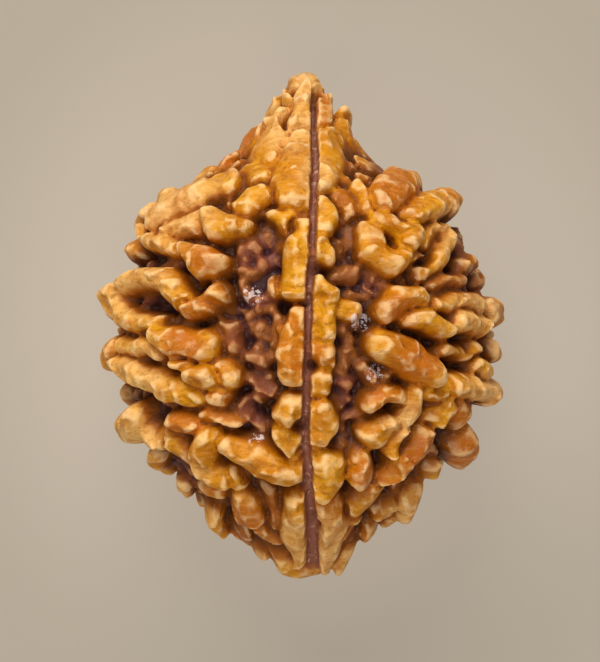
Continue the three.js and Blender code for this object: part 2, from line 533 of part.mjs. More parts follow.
// The whole stone, without the crumbs that a cut may leave.
function beadSolid() {
  const draw = seededDraw(secondFace.seed);
  const faceLobes = [...headLobes, ...ridgeLobes, ...leftLobes, ...rightLobes];
  const lobes = [
    ...faceLobes.map((lobe) => faceLobe(lobe, 1)),
    ...faceLobes.map((lobe) => faceLobe(varied(lobe, draw), -1)),
    ...sideLobes.map(sideLobe),
  ];
  scatterLobes(lobes, draw);
  const below = new THREE.BoxGeometry(60, 60, 20).translate(0, 0, restLevel - 10);
  const pieces = toSolid(skinGeometry(lobes, draw))
    .subtract(toSolid(seamGeometry()))
    .subtract(toSolid(seamGeometry().rotateY(Math.PI)))
    .subtract(toSolid(stringHoleGeometry()))
    .subtract(toSolid(below))
    .decompose();
  return pieces.reduce((most, piece) => (piece.volume() > most.volume() ? piece : most));
}

// The frame: the bead stands on Z = 0 with its box centred over the origin.
const geometry = toGeometry(beadSolid());
geometry.computeBoundingBox();
const middle = geometry.boundingBox.getCenter(new THREE.Vector3());
geometry.translate(-middle.x, -middle.y, -geometry.boundingBox.min.z);
geometry.computeVertexNormals();

const stone = new THREE.MeshStandardMaterial({ color: 0xb8761f, roughness: 0.35, metalness: 0 });
const bead = new THREE.Mesh(geometry, stone);
bead.name = "bead";

const rudraksha = new THREE.Group();
rudraksha.add(bead);
export default rudraksha;
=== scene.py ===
# Two mukhi rudraksha bead, lying on one furrowed face and seen from straight above the other.
# All is in metres, in the bead's own frame: X across it, Y along it to the stem end, Z up.
# The lobes are listed in millimetres from the middle of the stone; growBead sets it on the floor.
import json
import math
import bpy
import numpy as np
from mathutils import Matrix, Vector, kdtree

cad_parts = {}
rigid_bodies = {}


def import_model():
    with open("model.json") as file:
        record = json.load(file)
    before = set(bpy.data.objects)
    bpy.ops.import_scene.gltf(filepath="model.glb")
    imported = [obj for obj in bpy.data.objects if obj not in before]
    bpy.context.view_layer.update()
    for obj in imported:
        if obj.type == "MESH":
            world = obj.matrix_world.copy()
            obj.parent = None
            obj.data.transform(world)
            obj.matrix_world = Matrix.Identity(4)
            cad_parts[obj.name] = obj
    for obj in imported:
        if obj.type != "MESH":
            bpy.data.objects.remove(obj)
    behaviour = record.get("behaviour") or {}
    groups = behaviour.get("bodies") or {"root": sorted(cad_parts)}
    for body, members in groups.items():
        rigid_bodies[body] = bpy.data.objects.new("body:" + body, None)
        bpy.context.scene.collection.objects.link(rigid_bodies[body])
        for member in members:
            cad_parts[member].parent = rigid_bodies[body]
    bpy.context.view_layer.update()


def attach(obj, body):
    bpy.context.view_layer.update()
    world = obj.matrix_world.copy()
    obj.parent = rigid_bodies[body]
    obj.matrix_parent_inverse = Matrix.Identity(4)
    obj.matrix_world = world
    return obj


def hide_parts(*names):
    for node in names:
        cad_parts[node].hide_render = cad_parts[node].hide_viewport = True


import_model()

print("frame loaded")

millimetre = 0.001
beyond = 9.0  # further away than anything that counts

# The envelope that the tops of the lobes reach, as [y, half-width, half-depth].
envelope = [
  [-12.2, 0.5, 0.4], [-11.8, 1.5, 1.3], [-11, 2.2, 2.0], [-10, 3.6, 3.1], [-9, 5.0, 4.0],
  [-8, 5.9, 4.8], [-7, 7.1, 5.5], [-6, 8.0, 6.0], [-4, 8.95, 6.8], [-2, 9.45, 7.3], [0, 9.5, 7.4],
  [2, 9.4, 7.3], [4, 8.4, 6.8], [5.5, 7.8, 6.0], [6.4, 6.9, 5.4], [7.2, 5.2, 4.7], [8, 3.5, 3.9],
  [9, 2.5, 3.0], [10, 1.95, 2.3], [10.6, 1.5, 1.9], [11.2, 1.35, 1.6], [11.8, 1.0, 1.1],
  [12.2, 0.3, 0.3],
]

# The lobes of a furrowed face, each as [lift, [x, y, half-width], ...]: the line of its crest and
# how far its top stands above the envelope, or below it where it is sunk.
headLobes = [
  [0.3, [0.3, 11.3, 0.36], [-0.05, 10.45, 0.66], [-0.2, 9.85, 0.74]],
  [0.2, [0.75, 11.3, 0.34], [0.98, 10.4, 0.54], [1.0, 9.8, 0.48]],
  [0.1, [-1.0, 10.0, 0.6], [-1.3, 9.3, 0.85], [-1.5, 8.4, 0.6], [-1.45, 7.7, 0.36]],
  [0.4, [-0.1, 8.75, 0.55], [-0.4, 7.8, 0.9], [-0.5, 6.7, 0.85], [-0.55, 6.0, 0.75]],
  [0.3, [1.2, 9.1, 0.42], [1.3, 8.5, 0.62], [1.1, 7.5, 0.52], [0.9, 6.5, 0.34]],
  [-0.5, [1.95, 8.9, 0.36], [1.9, 7.9, 0.44], [1.75, 7.2, 0.36]],
]

ridgeLobes = [
  [0.3, [-0.2, 4.75, 0.5], [-0.4, 3.6, 0.62], [-0.45, 2.4, 0.6], [-0.5, 1.75, 0.56]],
  [-0.4, [-1.4, 2.2, 0.42], [-1.3, 1.6, 0.4]],
  [0.3, [-0.3, 0.5, 0.42], [-0.55, -0.6, 0.6], [-0.65, -1.6, 0.62], [-0.7, -2.3, 0.6]],
  [-0.6, [-1.3, 0.3, 0.34], [-1.4, -0.8, 0.34]],
  [0.3, [-0.55, -3.6, 0.55], [-0.95, -4.4, 0.62]],
  [0.25, [-1.1, -5.1, 0.45], [-0.4, -5.6, 0.5]],
  [0.35, [-3.5, -5.85, 0.5], [-2.5, -6.2, 0.58], [-1.3, -6.9, 0.7], [-0.5, -7.0, 0.65]],
  [0.3, [-0.4, -8.4, 0.5], [-0.4, -9.6, 0.56], [-0.1, -11.4, 0.36]],
  [0.2, [0.85, 5.7, 0.36], [1.1, 5.0, 0.46], [1.1, 4.5, 0.36]],
  [0.25, [0.9, 3.8, 0.42], [1.15, 3.4, 0.48]],
  [0.25, [0.7, 2.2, 0.3], [1.1, 1.4, 0.55], [1.1, 0.5, 0.46], [1.0, -0.4, 0.42]],
  [0.25, [0.9, -1.2, 0.48], [1.1, -1.8, 0.5]],
  [0.2, [0.9, -2.6, 0.45], [0.85, -3.1, 0.45]],
  [0.25, [0.85, -4.0, 0.48], [1.15, -4.8, 0.7], [0.9, -5.4, 0.4]],
  [0.35, [0.8, -6.4, 0.55], [1.3, -7.0, 0.75], [0.9, -7.8, 0.45]],
  [0.3, [1.2, -8.7, 0.55], [1.55, -9.3, 0.72], [1.2, -10.3, 0.44], [1.0, -11.3, 0.34]],
]

leftLobes = [
  [0.45, [-2.2, 9.0, 0.45], [-2.7, 8.8, 0.45]],
  [-0.1, [-2.3, 8.15, 0.58], [-2.85, 7.9, 0.6]],
  [0.35, [-3.35, 8.0, 0.45], [-3.8, 7.75, 0.5]],
  [0.1, [-7.3, 5.1, 0.8], [-6.3, 5.8, 1.15], [-5.1, 6.5, 1.05]],
  [0.1, [-4.9, 6.7, 0.95], [-3.7, 6.95, 0.75]],
  [-0.05, [-6.6, 4.9, 0.75], [-5.4, 5.2, 0.85]],
  [0.1, [-7.9, 4.6, 0.42], [-7.0, 4.0, 0.5], [-5.9, 3.7, 0.45]],
  [0.4, [-5.7, 3.6, 0.45], [-4.95, 3.1, 0.78], [-4.25, 2.95, 0.6]],
  [0.3, [-4.5, 5.35, 0.48], [-4.0, 4.85, 0.82], [-2.95, 4.75, 0.45]],
  [0, [-2.9, 5.7, 0.62], [-1.95, 6.45, 0.68]],
  [-0.9, [-1.95, 5.15, 0.56], [-1.5, 4.9, 0.5]],
  [-0.7, [-3.1, 3.75, 0.6], [-2.4, 3.8, 0.65]],
  [-1.2, [-1.8, 3.4, 0.6], [-1.45, 3.0, 0.5]],
  [-1.1, [-3.1, 2.4, 0.45], [-2.4, 2.3, 0.5]],
  [-1.0, [-2.7, 1.3, 0.5], [-2.0, 1.5, 0.5]],
  [-1.2, [-3.3, 0.95, 0.42], [-2.9, 0.5, 0.45]],
  [-0.6, [-3.85, 0.0, 0.5], [-3.5, -1.1, 0.52]],
  [-0.9, [-2.55, -0.3, 0.5], [-1.8, -0.6, 0.48]],
  [-0.6, [-2.6, -1.6, 0.44], [-2.0, -1.7, 0.44]],
  [-0.7, [-2.8, -2.8, 0.5], [-1.7, -3.2, 0.46]],
  [-0.8, [-3.0, -4.0, 0.5], [-2.6, -4.7, 0.55], [-2.2, -5.2, 0.44]],
  [0.1, [-9.0, 1.95, 0.6], [-7.9, 2.35, 0.65], [-6.9, 2.15, 0.72], [-6.0, 1.2, 0.82]],
  [0.2, [-5.5, 0.8, 0.55], [-4.8, 0.95, 0.6], [-4.2, 1.5, 0.68]],
  [-0.1, [-9.2, 1.2, 0.62], [-8.9, 0.45, 0.58], [-8.0, 0.1, 0.52], [-7.2, 0.15, 0.42]],
  [0.2, [-6.9, -0.5, 0.5], [-6.0, -0.9, 0.8], [-4.9, -1.0, 0.8]],
  [0.1, [-6.2, -1.65, 0.42], [-5.4, -1.75, 0.46]],
  [-0.1, [-9.1, -0.95, 0.55], [-8.0, -0.95, 0.6], [-7.2, -1.3, 0.46]],
  [0.1, [-9.1, -1.95, 0.56], [-7.8, -2.5, 0.68], [-6.3, -3.1, 0.78], [-5.2, -3.5, 0.6]],
  [-0.2, [-5.0, -4.15, 0.44], [-4.2, -4.3, 0.5], [-3.6, -4.5, 0.48]],
  [0.4, [-5.2, -2.35, 0.58], [-4.6, -2.5, 0.64]],
  [0.2, [-3.9, -2.1, 0.54], [-3.5, -2.5, 0.5]],
  [0, [-4.3, -3.35, 0.5], [-3.9, -3.35, 0.5]],
  [0.1, [-6.2, -4.65, 0.58], [-5.4, -4.8, 0.6]],
  [-0.2, [-6.5, -5.75, 0.75], [-5.8, -6.4, 0.8]],
  [0.3, [-4.4, -5.35, 0.58], [-4.8, -6.2, 0.68], [-4.7, -6.9, 0.64], [-4.0, -7.3, 0.5]],
  [-0.2, [-3.4, -7.1, 0.32], [-3.0, -7.8, 0.4]],
  [-0.2, [-4.7, -7.95, 0.5], [-4.0, -8.1, 0.5]],
  [0.25, [-3.0, -8.7, 0.65], [-2.7, -9.3, 0.9]],
  [-0.5, [-1.75, -8.1, 0.5], [-1.5, -9.2, 0.5], [-1.3, -10.1, 0.42]],
  [-0.2, [-1.8, -10.2, 0.46], [-1.1, -11.1, 0.44]],
]

rightLobes = [
  [-0.3, [2.35, 8.2, 0.42], [2.9, 8.0, 0.4]],
  [-0.3, [2.35, 7.45, 0.42], [2.75, 7.3, 0.4]],
  [0.5, [3.7, 5.8, 0.7], [4.3, 6.5, 0.88], [4.75, 6.95, 0.74]],
  [0.3, [5.05, 5.3, 0.6], [5.8, 5.75, 0.82], [6.35, 6.1, 0.76]],
  [0.05, [2.65, 6.6, 0.5], [3.0, 6.0, 0.5], [3.1, 5.6, 0.4]],
  [-0.3, [1.75, 6.4, 0.48], [2.1, 5.8, 0.58], [2.3, 5.4, 0.44]],
  [0.45, [3.5, 5.0, 0.3], [4.4, 4.85, 0.5], [5.1, 4.5, 0.62], [4.9, 4.0, 0.45]],
  [0.15, [3.2, 4.4, 0.55], [3.5, 3.6, 0.74], [4.2, 3.0, 0.6], [4.75, 3.3, 0.4]],
  [-0.2, [5.8, 4.1, 0.58], [6.4, 4.6, 0.68], [7.0, 4.8, 0.5]],
  [-0.15, [7.3, 4.3, 0.46], [6.9, 3.6, 0.55], [6.2, 3.0, 0.6], [5.65, 2.6, 0.58]],
  [-0.9, [2.4, 5.0, 0.5], [2.3, 4.1, 0.5]],
  [-0.75, [1.75, 2.6, 0.65], [2.6, 2.6, 0.78]],
  [-0.9, [3.3, 2.0, 0.5], [3.6, 1.75, 0.44]],
  [-1.0, [2.0, 1.3, 0.42], [3.2, 1.2, 0.44]],
  [-1.3, [2.5, 0.2, 0.44], [3.2, 0.1, 0.4]],
  [0.3, [4.05, 0.7, 0.55], [4.7, 1.15, 0.82], [5.5, 1.3, 0.68]],
  [-0.45, [6.3, 1.9, 0.45], [7.1, 2.25, 0.58], [7.9, 2.3, 0.52]],
  [-0.1, [6.5, 1.0, 0.46], [7.6, 1.2, 0.56], [8.8, 1.0, 0.6]],
  [0, [7.5, 0.2, 0.52], [8.7, 0, 0.66]],
  [0.15, [5.1, 0.3, 0.42], [6.0, 0.1, 0.56], [6.9, -0.15, 0.54]],
  [0.55, [3.8, -0.75, 0.85], [4.6, -1.2, 0.92], [5.6, -1.9, 0.98], [6.0, -2.2, 0.85]],
  [-0.35, [6.9, -1.3, 0.5], [7.7, -1.4, 0.6], [8.7, -1.2, 0.56]],
  [0.35, [7.3, -2.8, 0.58], [8.2, -3.0, 0.72], [9.0, -3.3, 0.55]],
  [0.05, [6.1, -3.25, 0.44], [6.7, -3.0, 0.5]],
  [0.15, [6.9, -3.75, 0.44], [6.4, -4.4, 0.58]],
  [-0.8, [2.2, -1.0, 0.45], [2.1, -1.9, 0.42]],
  [-0.9, [1.85, -0.15, 0.44], [2.3, -0.55, 0.42]],
  [-0.5, [3.0, -2.1, 0.45], [3.5, -2.7, 0.45]],
  [-1.4, [1.9, -2.8, 0.4], [2.3, -3.4, 0.42]],
  [0, [3.2, -3.6, 0.48], [4.0, -3.3, 0.5], [4.6, -3.4, 0.46]],
  [0.1, [5.45, -3.3, 0.4], [5.3, -4.0, 0.5], [4.9, -4.5, 0.46]],
  [-0.9, [2.0, -4.9, 0.4], [2.9, -4.4, 0.42]],
  [0.2, [3.85, -4.85, 0.58], [3.4, -5.45, 0.72]],
  [0.05, [4.8, -5.2, 0.44], [4.5, -5.9, 0.5]],
  [0.25, [2.8, -6.6, 0.66], [2.8, -7.3, 0.7]],
  [0.15, [6.0, -5.3, 0.62], [5.6, -6.1, 0.74], [4.7, -6.9, 0.68], [4.1, -7.4, 0.5]],
  [-0.1, [3.4, -8.0, 0.46], [2.9, -8.5, 0.56], [2.35, -9.1, 0.46]],
  [-0.3, [2.4, -9.8, 0.4], [1.9, -10.4, 0.4]],
]

# The lobes round the sides, as [lift, [x, y, z, half-width], ...].
sideLobes = [
  [-0.1, [-0.85, 11.2, 0.4, 0.4], [-0.6, 11.6, -0.5, 0.45]],
  [-0.1, [0.9, 11.2, 0.4, 0.4], [0.7, 11.6, -0.5, 0.45]],
  [0.4, [1.7, 9.9, 0.3, 0.42], [1.9, 9.7, -0.4, 0.4]],
  [0.1, [-1.9, 9.6, 0.3, 0.4], [-2.0, 9.5, -0.3, 0.4]],
  [0.1, [-4.2, 7.6, 1.6, 0.65], [-4.3, 7.4, 0.4, 0.7]],
  [0.1, [-5.9, 6.4, 1.4, 0.8], [-5.7, 6.5, -0.6, 0.85]],
  [0.25, [6.5, 6.0, 1.5, 0.72], [6.2, 6.2, 0.1, 0.78], [6.1, 6.2, -1.2, 0.7]],
  [0.35, [4.9, 7.1, 1.4, 0.6], [4.8, 7.2, 0.1, 0.62]],
  [0, [-8.0, 3.9, 1.3, 0.72], [-7.9, 3.9, -0.8, 0.72]],
  [-0.7, [7.6, 4.4, 1.2, 0.75], [7.7, 4.0, -0.5, 0.8]],
  [-0.8, [8.3, 2.4, 1.4, 0.6], [8.2, 2.2, 0.1, 0.62]],
  [0.3, [-9.2, 1.4, 1.4, 0.95], [-9.3, 1.0, -0.5, 1.1], [-9.3, 1.1, -2.0, 0.8]],
  [0, [9.1, 0.7, 1.3, 0.8], [9.1, 0.5, -0.9, 0.85], [9.0, 0.3, -2.2, 0.7]],
  [0.3, [-9.2, -1.2, 1.5, 0.85], [-9.2, -1.4, 0, 1.0], [-9.1, -1.6, -1.8, 0.8]],
  [0, [9.1, -1.2, 0.9, 0.6], [9.1, -1.4, -0.4, 0.65]],
  [0.45, [9.2, -3.3, 1.4, 0.62], [9.0, -3.3, -0.2, 0.66], [8.9, -3.4, -1.4, 0.5]],
  [0.45, [-7.9, -4.6, 2.2, 0.85], [-8.0, -5.1, 0.6, 1.15], [-7.9, -5.1, -0.6, 1.0]],
  [0.5, [7.3, -5.5, 2.0, 0.68], [7.3, -6.1, 0.7, 0.95], [7.3, -6.2, -0.6, 0.85]],
  [0, [-6.8, -6.5, 1.5, 0.62], [-6.7, -6.8, 0.1, 0.66]],
  [0.5, [4.8, -8.1, 1.8, 0.62], [4.7, -8.9, 0.5, 0.9], [4.7, -8.9, -0.5, 0.8]],
  [-0.1, [-5.0, -7.9, 1.2, 0.6], [-5.2, -8.1, -0.2, 0.66]],
  [0.4, [-3.5, -9.2, 1.2, 0.7], [-3.4, -9.7, 0, 0.75], [-3.3, -9.7, -0.7, 0.6]],
  [0.3, [1.5, -11.0, 0.6, 0.5], [1.4, -11.6, -0.2, 0.6]],
  [-0.9, [2.9, 8.3, 1.6, 0.5], [2.9, 8.3, -0.6, 0.5]],
  [-1.0, [4.0, 7.75, 1.4, 0.45], [3.9, 7.75, -0.8, 0.45]],
  [-1.2, [7.9, 3.3, 1.4, 0.5], [7.9, 3.2, -0.8, 0.5]],
  [-1.1, [8.7, 1.75, 1.2, 0.4], [8.7, 1.6, -0.8, 0.4]],
  [-1.2, [-8.8, -3.0, 1.6, 0.5], [-8.8, -3.1, -1.2, 0.5]],
  [-1.1, [9.0, -2.25, 1.2, 0.4], [9.0, -2.3, -1.0, 0.4]],
  [-1.3, [8.4, -4.5, 1.6, 0.5], [8.4, -4.6, -1.2, 0.5]],
  [-1.2, [6.1, -7.3, 1.4, 0.5], [6.0, -7.4, -1.2, 0.5]],
  [-1.3, [-6.1, -7.3, 1.2, 0.45], [-6.0, -7.4, -1.0, 0.45]],
  [-1.4, [-4.4, -8.9, 1.0, 0.4], [-4.3, -9.0, -0.8, 0.4]],
  [-1.3, [3.5, -10.0, 1.0, 0.55], [3.4, -10.0, -0.8, 0.55]],
  [-0.9, [2.4, -10.7, 0.8, 0.45], [2.4, -10.8, -0.6, 0.45]],
  [-0.9, [-2.5, -10.7, 0.8, 0.5], [-2.4, -10.8, -0.6, 0.5]],
]

# Lobes scattered over what the lists leave bare, from coarse to fine.
scatters = [
  {"count": 260, "width": [0.65, 0.95], "length": [0.6, 1.6], "lift": [-0.3, 0.1], "cover": 0.1},
  {"count": 300, "width": [0.55, 0.8], "length": [0.4, 1.2], "lift": [-1.1, -0.6], "cover": 0.28},
  {"count": 900, "width": [0.4, 0.6], "length": [0.3, 0.8], "lift": [-1.4, -0.9], "cover": 0.15},
]
scatterTurn = 0.7

# Lobes at the two ends that are fuller in life than the faceted solid shows, by their number in the
# lists above, and the rim of the string hole.
fullerLobes = {
  0: [0.5, [0.2, 11.2, 0.34], [-0.15, 10.5, 0.6], [-0.3, 9.85, 0.68]],
  2: [0.45, [-1.1, 10.0, 0.55], [-1.45, 9.3, 0.78], [-1.65, 8.5, 0.64], [-1.6, 7.8, 0.38]],
  13: [0.35, [-0.45, -8.4, 0.5], [-0.45, -9.6, 0.58], [-0.4, -10.6, 0.56], [-0.3, -11.5, 0.5]],
  21: [0.35, [1.2, -8.7, 0.55], [1.5, -9.4, 0.72], [1.25, -10.3, 0.56], [1.05, -11.5, 0.46]],
}
stemRim = [0.14, [-0.9, 10.7, 0.34], [-0.85, 11.2, 0.36], [-0.2, 11.5, 0.36], [0.75, 11.2, 0.3]]

# The second face repeats the first one turned half round, varied by a draw.
secondFace = {"squeeze": 0.88, "shift": 0.16, "width": 0.1, "lift": 0.12, "mostLift": 0.2,
              "seed": 7}

seamLine = [[-12.6, 0.5], [-9, 0.32], [-5, 0.1], [0, 0.22], [4, 0.42], [8, 0.52], [12, 0.5]]

beadShape = {  # in millimetres, as the lists
    "middle": (-0.1126, -0.0389, -6.9500),  # middle of the box, and the level that it rests at
    "restsAt": 0.004,  # nothing reaches lower than this
    "halfLength": 12.2, "tipMargin": 0.985, "poleMargin": 0.998, "edgeMargin": 0.999,
    "insetMost": 1.9, "insetShare": 0.5,  # the floor between the lobes, below the envelope
    "mostStretch": 1.45, "slopeStep": 0.3,  # lobes as seen from above widen on the slope
    # how far a kind of lobe swells until it presses on the next, how flat its top is, how cut it is
    "headKind": (1.25, 2.6, 0.3), "ridgeKind": (1.08, 4.6, 1), "flankKind": (1.08, 3.0, 1),
    "rise": 1.2, "skirt": 1.28,  # how far it falls to its foot, and how far out it ends
    # the flat cuts round its top
    "bevelSlope": (0.35, 1.0), "bevelFrom": (-0.2, 0.5), "bevelSpread": 25,
    # the crevice between two lobes that stand within its reach of each other's height
    "creviceReach": 0.44, "crevicePower": 1.4,
    "creviceDepth": (1.7, 1.15),  # on the sides and on the two faces
    "sideUpTo": 1, "faceOver": 4,  # the sides are this far from the middle, and then turn to a face
    "endShallow": 1.8, "bareBelow": 0.05,  # shallower near the ends, and none on the bare floor
    "pebbleSize": 0.95, "pebbleTop": 1.15, "pebbleFall": 1.7,  # low lumps over the floor
    "pebbleSeed": 31, "pebbleOnSide": 0.35,
    # where lobes have grown together: a share that noise moves, less towards the ends, and spots
    "fused": 0.5, "fusedLeast": 0.2, "fusedNoise": (1.6, 2.0, 21), "fusedFade": (2.4, 4),
    "fill": 0.5,
    "fusedSpots": [(-5.9, 6.0, 1.9), (7.9, 0.6, 1.7), (7.4, 3.6, 1.3), (-8.0, -5.0, 1.4),
                   (-8.0, 1.2, 1.3), (5.4, -8.6, 1.4)],
    "spotFade": (3.2, 3), "spotMost": 0.85,
    # noises as (amount, size, seed)
    "bend": (0.28, 1.5, (1, 2, 3)), "wobble": (0.06, 0.6, (4, 5, 6)), "swell": (0.13, 1.7, 17),
    "lumps": (0.08, 0.8, 9), "grain": (0.045, 0.3, 10), "facets": (0.25, 1.5, 3), "facetWarp": 3,
    "dents": (0.3, 1.7, 41), "dentReach": 0.36, "dentWarp": 2,
    # the mouth of the string hole: its place and radius, and the rim and the pit round it
    "stemPit": (-0.5, 11.2, 0.3), "pitDepth": 0.5, "pitFade": (2.2, 2), "pitRim": 0.16,
    "rimRing": (1.6, 0.5),
    "ridgeFlat": 0.42,  # the ridge blocks stay level from here to the seam
    "seamRows": (-11, -6, 10), "seamHalfWidth": (0.3, 0.18, 0.16), "seamDepth": 0.8,
    "seamDrift": (0.06, 1.1, 12), "seamVaries": (0.3, 0.9, 14), "seamTop": 11.5, "seamEdge": 0.5,
    "hole": [(0.55, -13, 0), (-0.1, 13, -0.1)], "holeRadius": 0.5, "holeSides": 40,
    "subdivisions": 8, "smoothing": 0.5, "eased": 1,  # how strong and how many rounds
    "voxel": 0.11, "mostFaces": 196000,
}


def pointsOf(mesh):
    flat = np.empty(len(mesh.vertices) * 3, dtype=np.float32)
    mesh.vertices.foreach_get("co", flat)
    return flat.reshape(-1, 3).astype(np.float64)


def setPoints(mesh, points):
    mesh.vertices.foreach_set("co", points.astype(np.float32).ravel())
    mesh.update()


def scramble(cell, seed):  # a whole number for each cell of a lattice
    key = cell[:, 0] * 73856093 ^ cell[:, 1] * 19349663 ^ cell[:, 2] * 83492791
    key = (key ^ (seed * 2654435761)) & 0xFFFFFFFF
    key = (key ^ (key >> 15)) * 0x2C1B3C6D & 0xFFFFFFFF
    key = (key ^ (key >> 12)) * 0x297A2D39 & 0xFFFFFFFF
    return key ^ (key >> 15)


def threeShares(key):  # three values from 0 to 1 out of one such number
    return np.stack([key & 1023, (key >> 10) & 1023, (key >> 20) & 1023], axis=1) / 1023


def noiseAt(points, size, seed):  # smooth noise from -1 to 1, with lumps about size across
    place = points / size + seed * 17.31
    cell = np.floor(place).astype(np.int64)
    part = place - cell
    fade = part * part * part * (part * (part * 6 - 15) + 10)
    total = np.zeros(len(place))
    for corner in np.ndindex(2, 2, 2):
        slope = 2 * threeShares(scramble(cell + corner, seed)) - 1
        weight = np.prod(np.where(corner, fade, 1 - fade), axis=1)
        total += weight * np.sum(slope * (part - corner), axis=1)
    return total * 1.4  # which about fills that range


def swing(points, name):  # one of the noises in beadShape
    amount, size, seed = beadShape[name]
    if isinstance(seed, tuple):
        return amount * np.stack([noiseAt(points, size, k) for k in seed], axis=1)
    return amount * noiseAt(points, size, seed)


def cellGap(points, size, seed):  # how far each point is from the nearest of some scattered ones
    place = points / size
    cell = np.floor(place).astype(np.int64)
    nearest = np.full(len(place), beyond)
    for step in np.ndindex(3, 3, 3):
        corner = cell + step - 1
        gap = np.linalg.norm(place - corner - threeShares(scramble(corner, seed)), axis=1)
        nearest = np.minimum(gap, nearest)
    return nearest


def facetsAt(points, size, seed):  # flat patches, each tilted its own way, like cuts of a knife
    place = points / size
    cell = np.floor(place).astype(np.int64)
    nearest = np.full(len(place), beyond)
    value = np.zeros(len(place))
    tiltSeed = seed + 50
    for step in np.ndindex(3, 3, 3):
        corner = cell + step - 1
        away = place - corner - threeShares(scramble(corner, seed))
        gap = np.linalg.norm(away, axis=1)
        tilt = np.sum(away * (2 * threeShares(scramble(corner, tiltSeed)) - 1), axis=1)
        value = np.where(gap < nearest, tilt, value)
        nearest = np.minimum(gap, nearest)
    return value


def envelopeAt(y):
    rows = np.array(envelope)
    width = np.interp(y, rows[:, 0], rows[:, 1])
    depth = np.interp(y, rows[:, 0], rows[:, 2])
    inset = np.minimum(beadShape["insetMost"], beadShape["insetShare"] * np.minimum(width, depth))
    return width, depth, inset


def envelopePoint(y, turn):
    width, depth, _ = envelopeAt(y)
    return np.stack([width * np.cos(turn), y, depth * np.sin(turn)], axis=-1)


def ontoEnvelope(point):
    limit = beadShape["tipMargin"] * beadShape["halfLength"]
    y = min(limit, max(-limit, float(point[1])))
    width, depth, _ = envelopeAt(y)
    return envelopePoint(np.array(y), np.array(math.atan2(point[2] / depth, point[0] / width)))


def floorPoint(y, turn):
    inset = envelopeAt(y)[2]
    level = y * (1 - inset / beadShape["halfLength"])
    width, depth, _ = envelopeAt(level)
    across = (width - inset) * np.cos(turn)
    return np.stack([across, level, (depth - inset) * np.sin(turn)], axis=-1)


def seededDraw(seed):
    state = [seed]

    def draw():
        state[0] = (state[0] * 1664525 + 1013904223) & 0xFFFFFFFF
        return state[0] / 4294967296
    return draw


def reachAt(x, y):
    limit = beadShape["edgeMargin"]
    return min(limit, max(-limit, x / float(envelopeAt(y)[0])))


def riseAt(x, y):
    return float(envelopeAt(y)[1]) * math.sqrt(1 - reachAt(x, y) ** 2)


def stretchAt(x, y, across):  # how much longer a step across a lobe is on the sloping envelope
    stepX, stepY = (part * beadShape["slopeStep"] for part in across)
    climb = riseAt(x + stepX, y + stepY) - riseAt(x - stepX, y - stepY)
    return min(beadShape["mostStretch"], math.hypot(1, climb / (2 * beadShape["slopeStep"])))


def faceLobe(lobe, face, kind):  # a lobe as (lift, nodes on the envelope with half-widths, kind)
    (startX, startY, _), (endX, endY, _) = lobe[1], lobe[-1]
    long = math.hypot(endX - startX, endY - startY)
    across = ((startY - endY) / long, (endX - startX) / long)
    nodes = []
    for x, y, width in lobe[1:]:
        turn = math.acos(reachAt(x, y)) + (0 if face > 0 else math.pi)
        centre = envelopePoint(np.array(y), np.array(turn))
        nodes.append((centre, width * stretchAt(x, y, across)))
    return lobe[0], nodes, kind


def sideLobe(lobe):
    nodes = [(ontoEnvelope((x, y, z)), width) for x, y, z, width in lobe[1:]]
    return lobe[0], nodes, beadShape["flankKind"]


def varied(lobe, draw):
    def spread(amount):
        return amount * (2 * draw() - 1)
    shiftX = spread(secondFace["shift"])
    shiftY = spread(secondFace["shift"])
    grow = 1 + spread(secondFace["width"])
    moved = [[secondFace["squeeze"] * x + shiftX, y + shiftY, width * grow]
             for x, y, width in lobe[1:]]
    return [min(secondFace["mostLift"], lobe[0] + spread(secondFace["lift"])), *moved]


def lobeHeights(points, lobe, insets, swell=None):  # the points near a lobe, and what it does there
    lift, nodes, (plump, roundness, _) = lobe
    plump = 1 if swell is None else plump
    centres = np.array([node[0] for node in nodes])
    widest = plump * max(node[1] for node in nodes)
    low = centres.min(axis=0) - beadShape["skirt"] * widest
    high = centres.max(axis=0) + beadShape["skirt"] * widest
    near = np.nonzero(np.all((points > low) & (points < high), axis=1))[0]
    place = points[near]
    share = np.full(len(near), beyond)
    width = np.full(len(near), widest)
    offset = np.zeros((len(near), 3))
    for (start, firstWidth), (end, lastWidth) in zip(nodes, nodes[1:]):
        along = end - start
        t = np.clip((place - start) @ along / (along @ along), 0, 1)
        across = plump * (firstWidth + (lastWidth - firstWidth) * t)
        away = place - (start + t[:, None] * along)
        gap = np.linalg.norm(away, axis=1) / across
        closer = gap < share
        share[closer] = gap[closer]
        width[closer] = across[closer]
        offset[closer] = away[closer]
    if swell is not None:
        share = share * swell[near]
    dome = np.sqrt(1 - np.minimum(share, 1) ** roundness)
    height = insets[near] + lift - beadShape["rise"] * width * (1 - dome)
    return near, share, width, offset, height


def skirted(height, share):
    return height * np.clip((beadShape["skirt"] - share) / (beadShape["skirt"] - 1), 0, 1)


def coverAt(points, lobes, insets):  # how high the highest of some lobes stands at each point
    highest = np.zeros(len(points))
    for lobe in lobes:
        near, share, _, _, height = lobeHeights(points, lobe, insets)
        highest[near] = np.maximum(highest[near], skirted(height, share))
    return highest


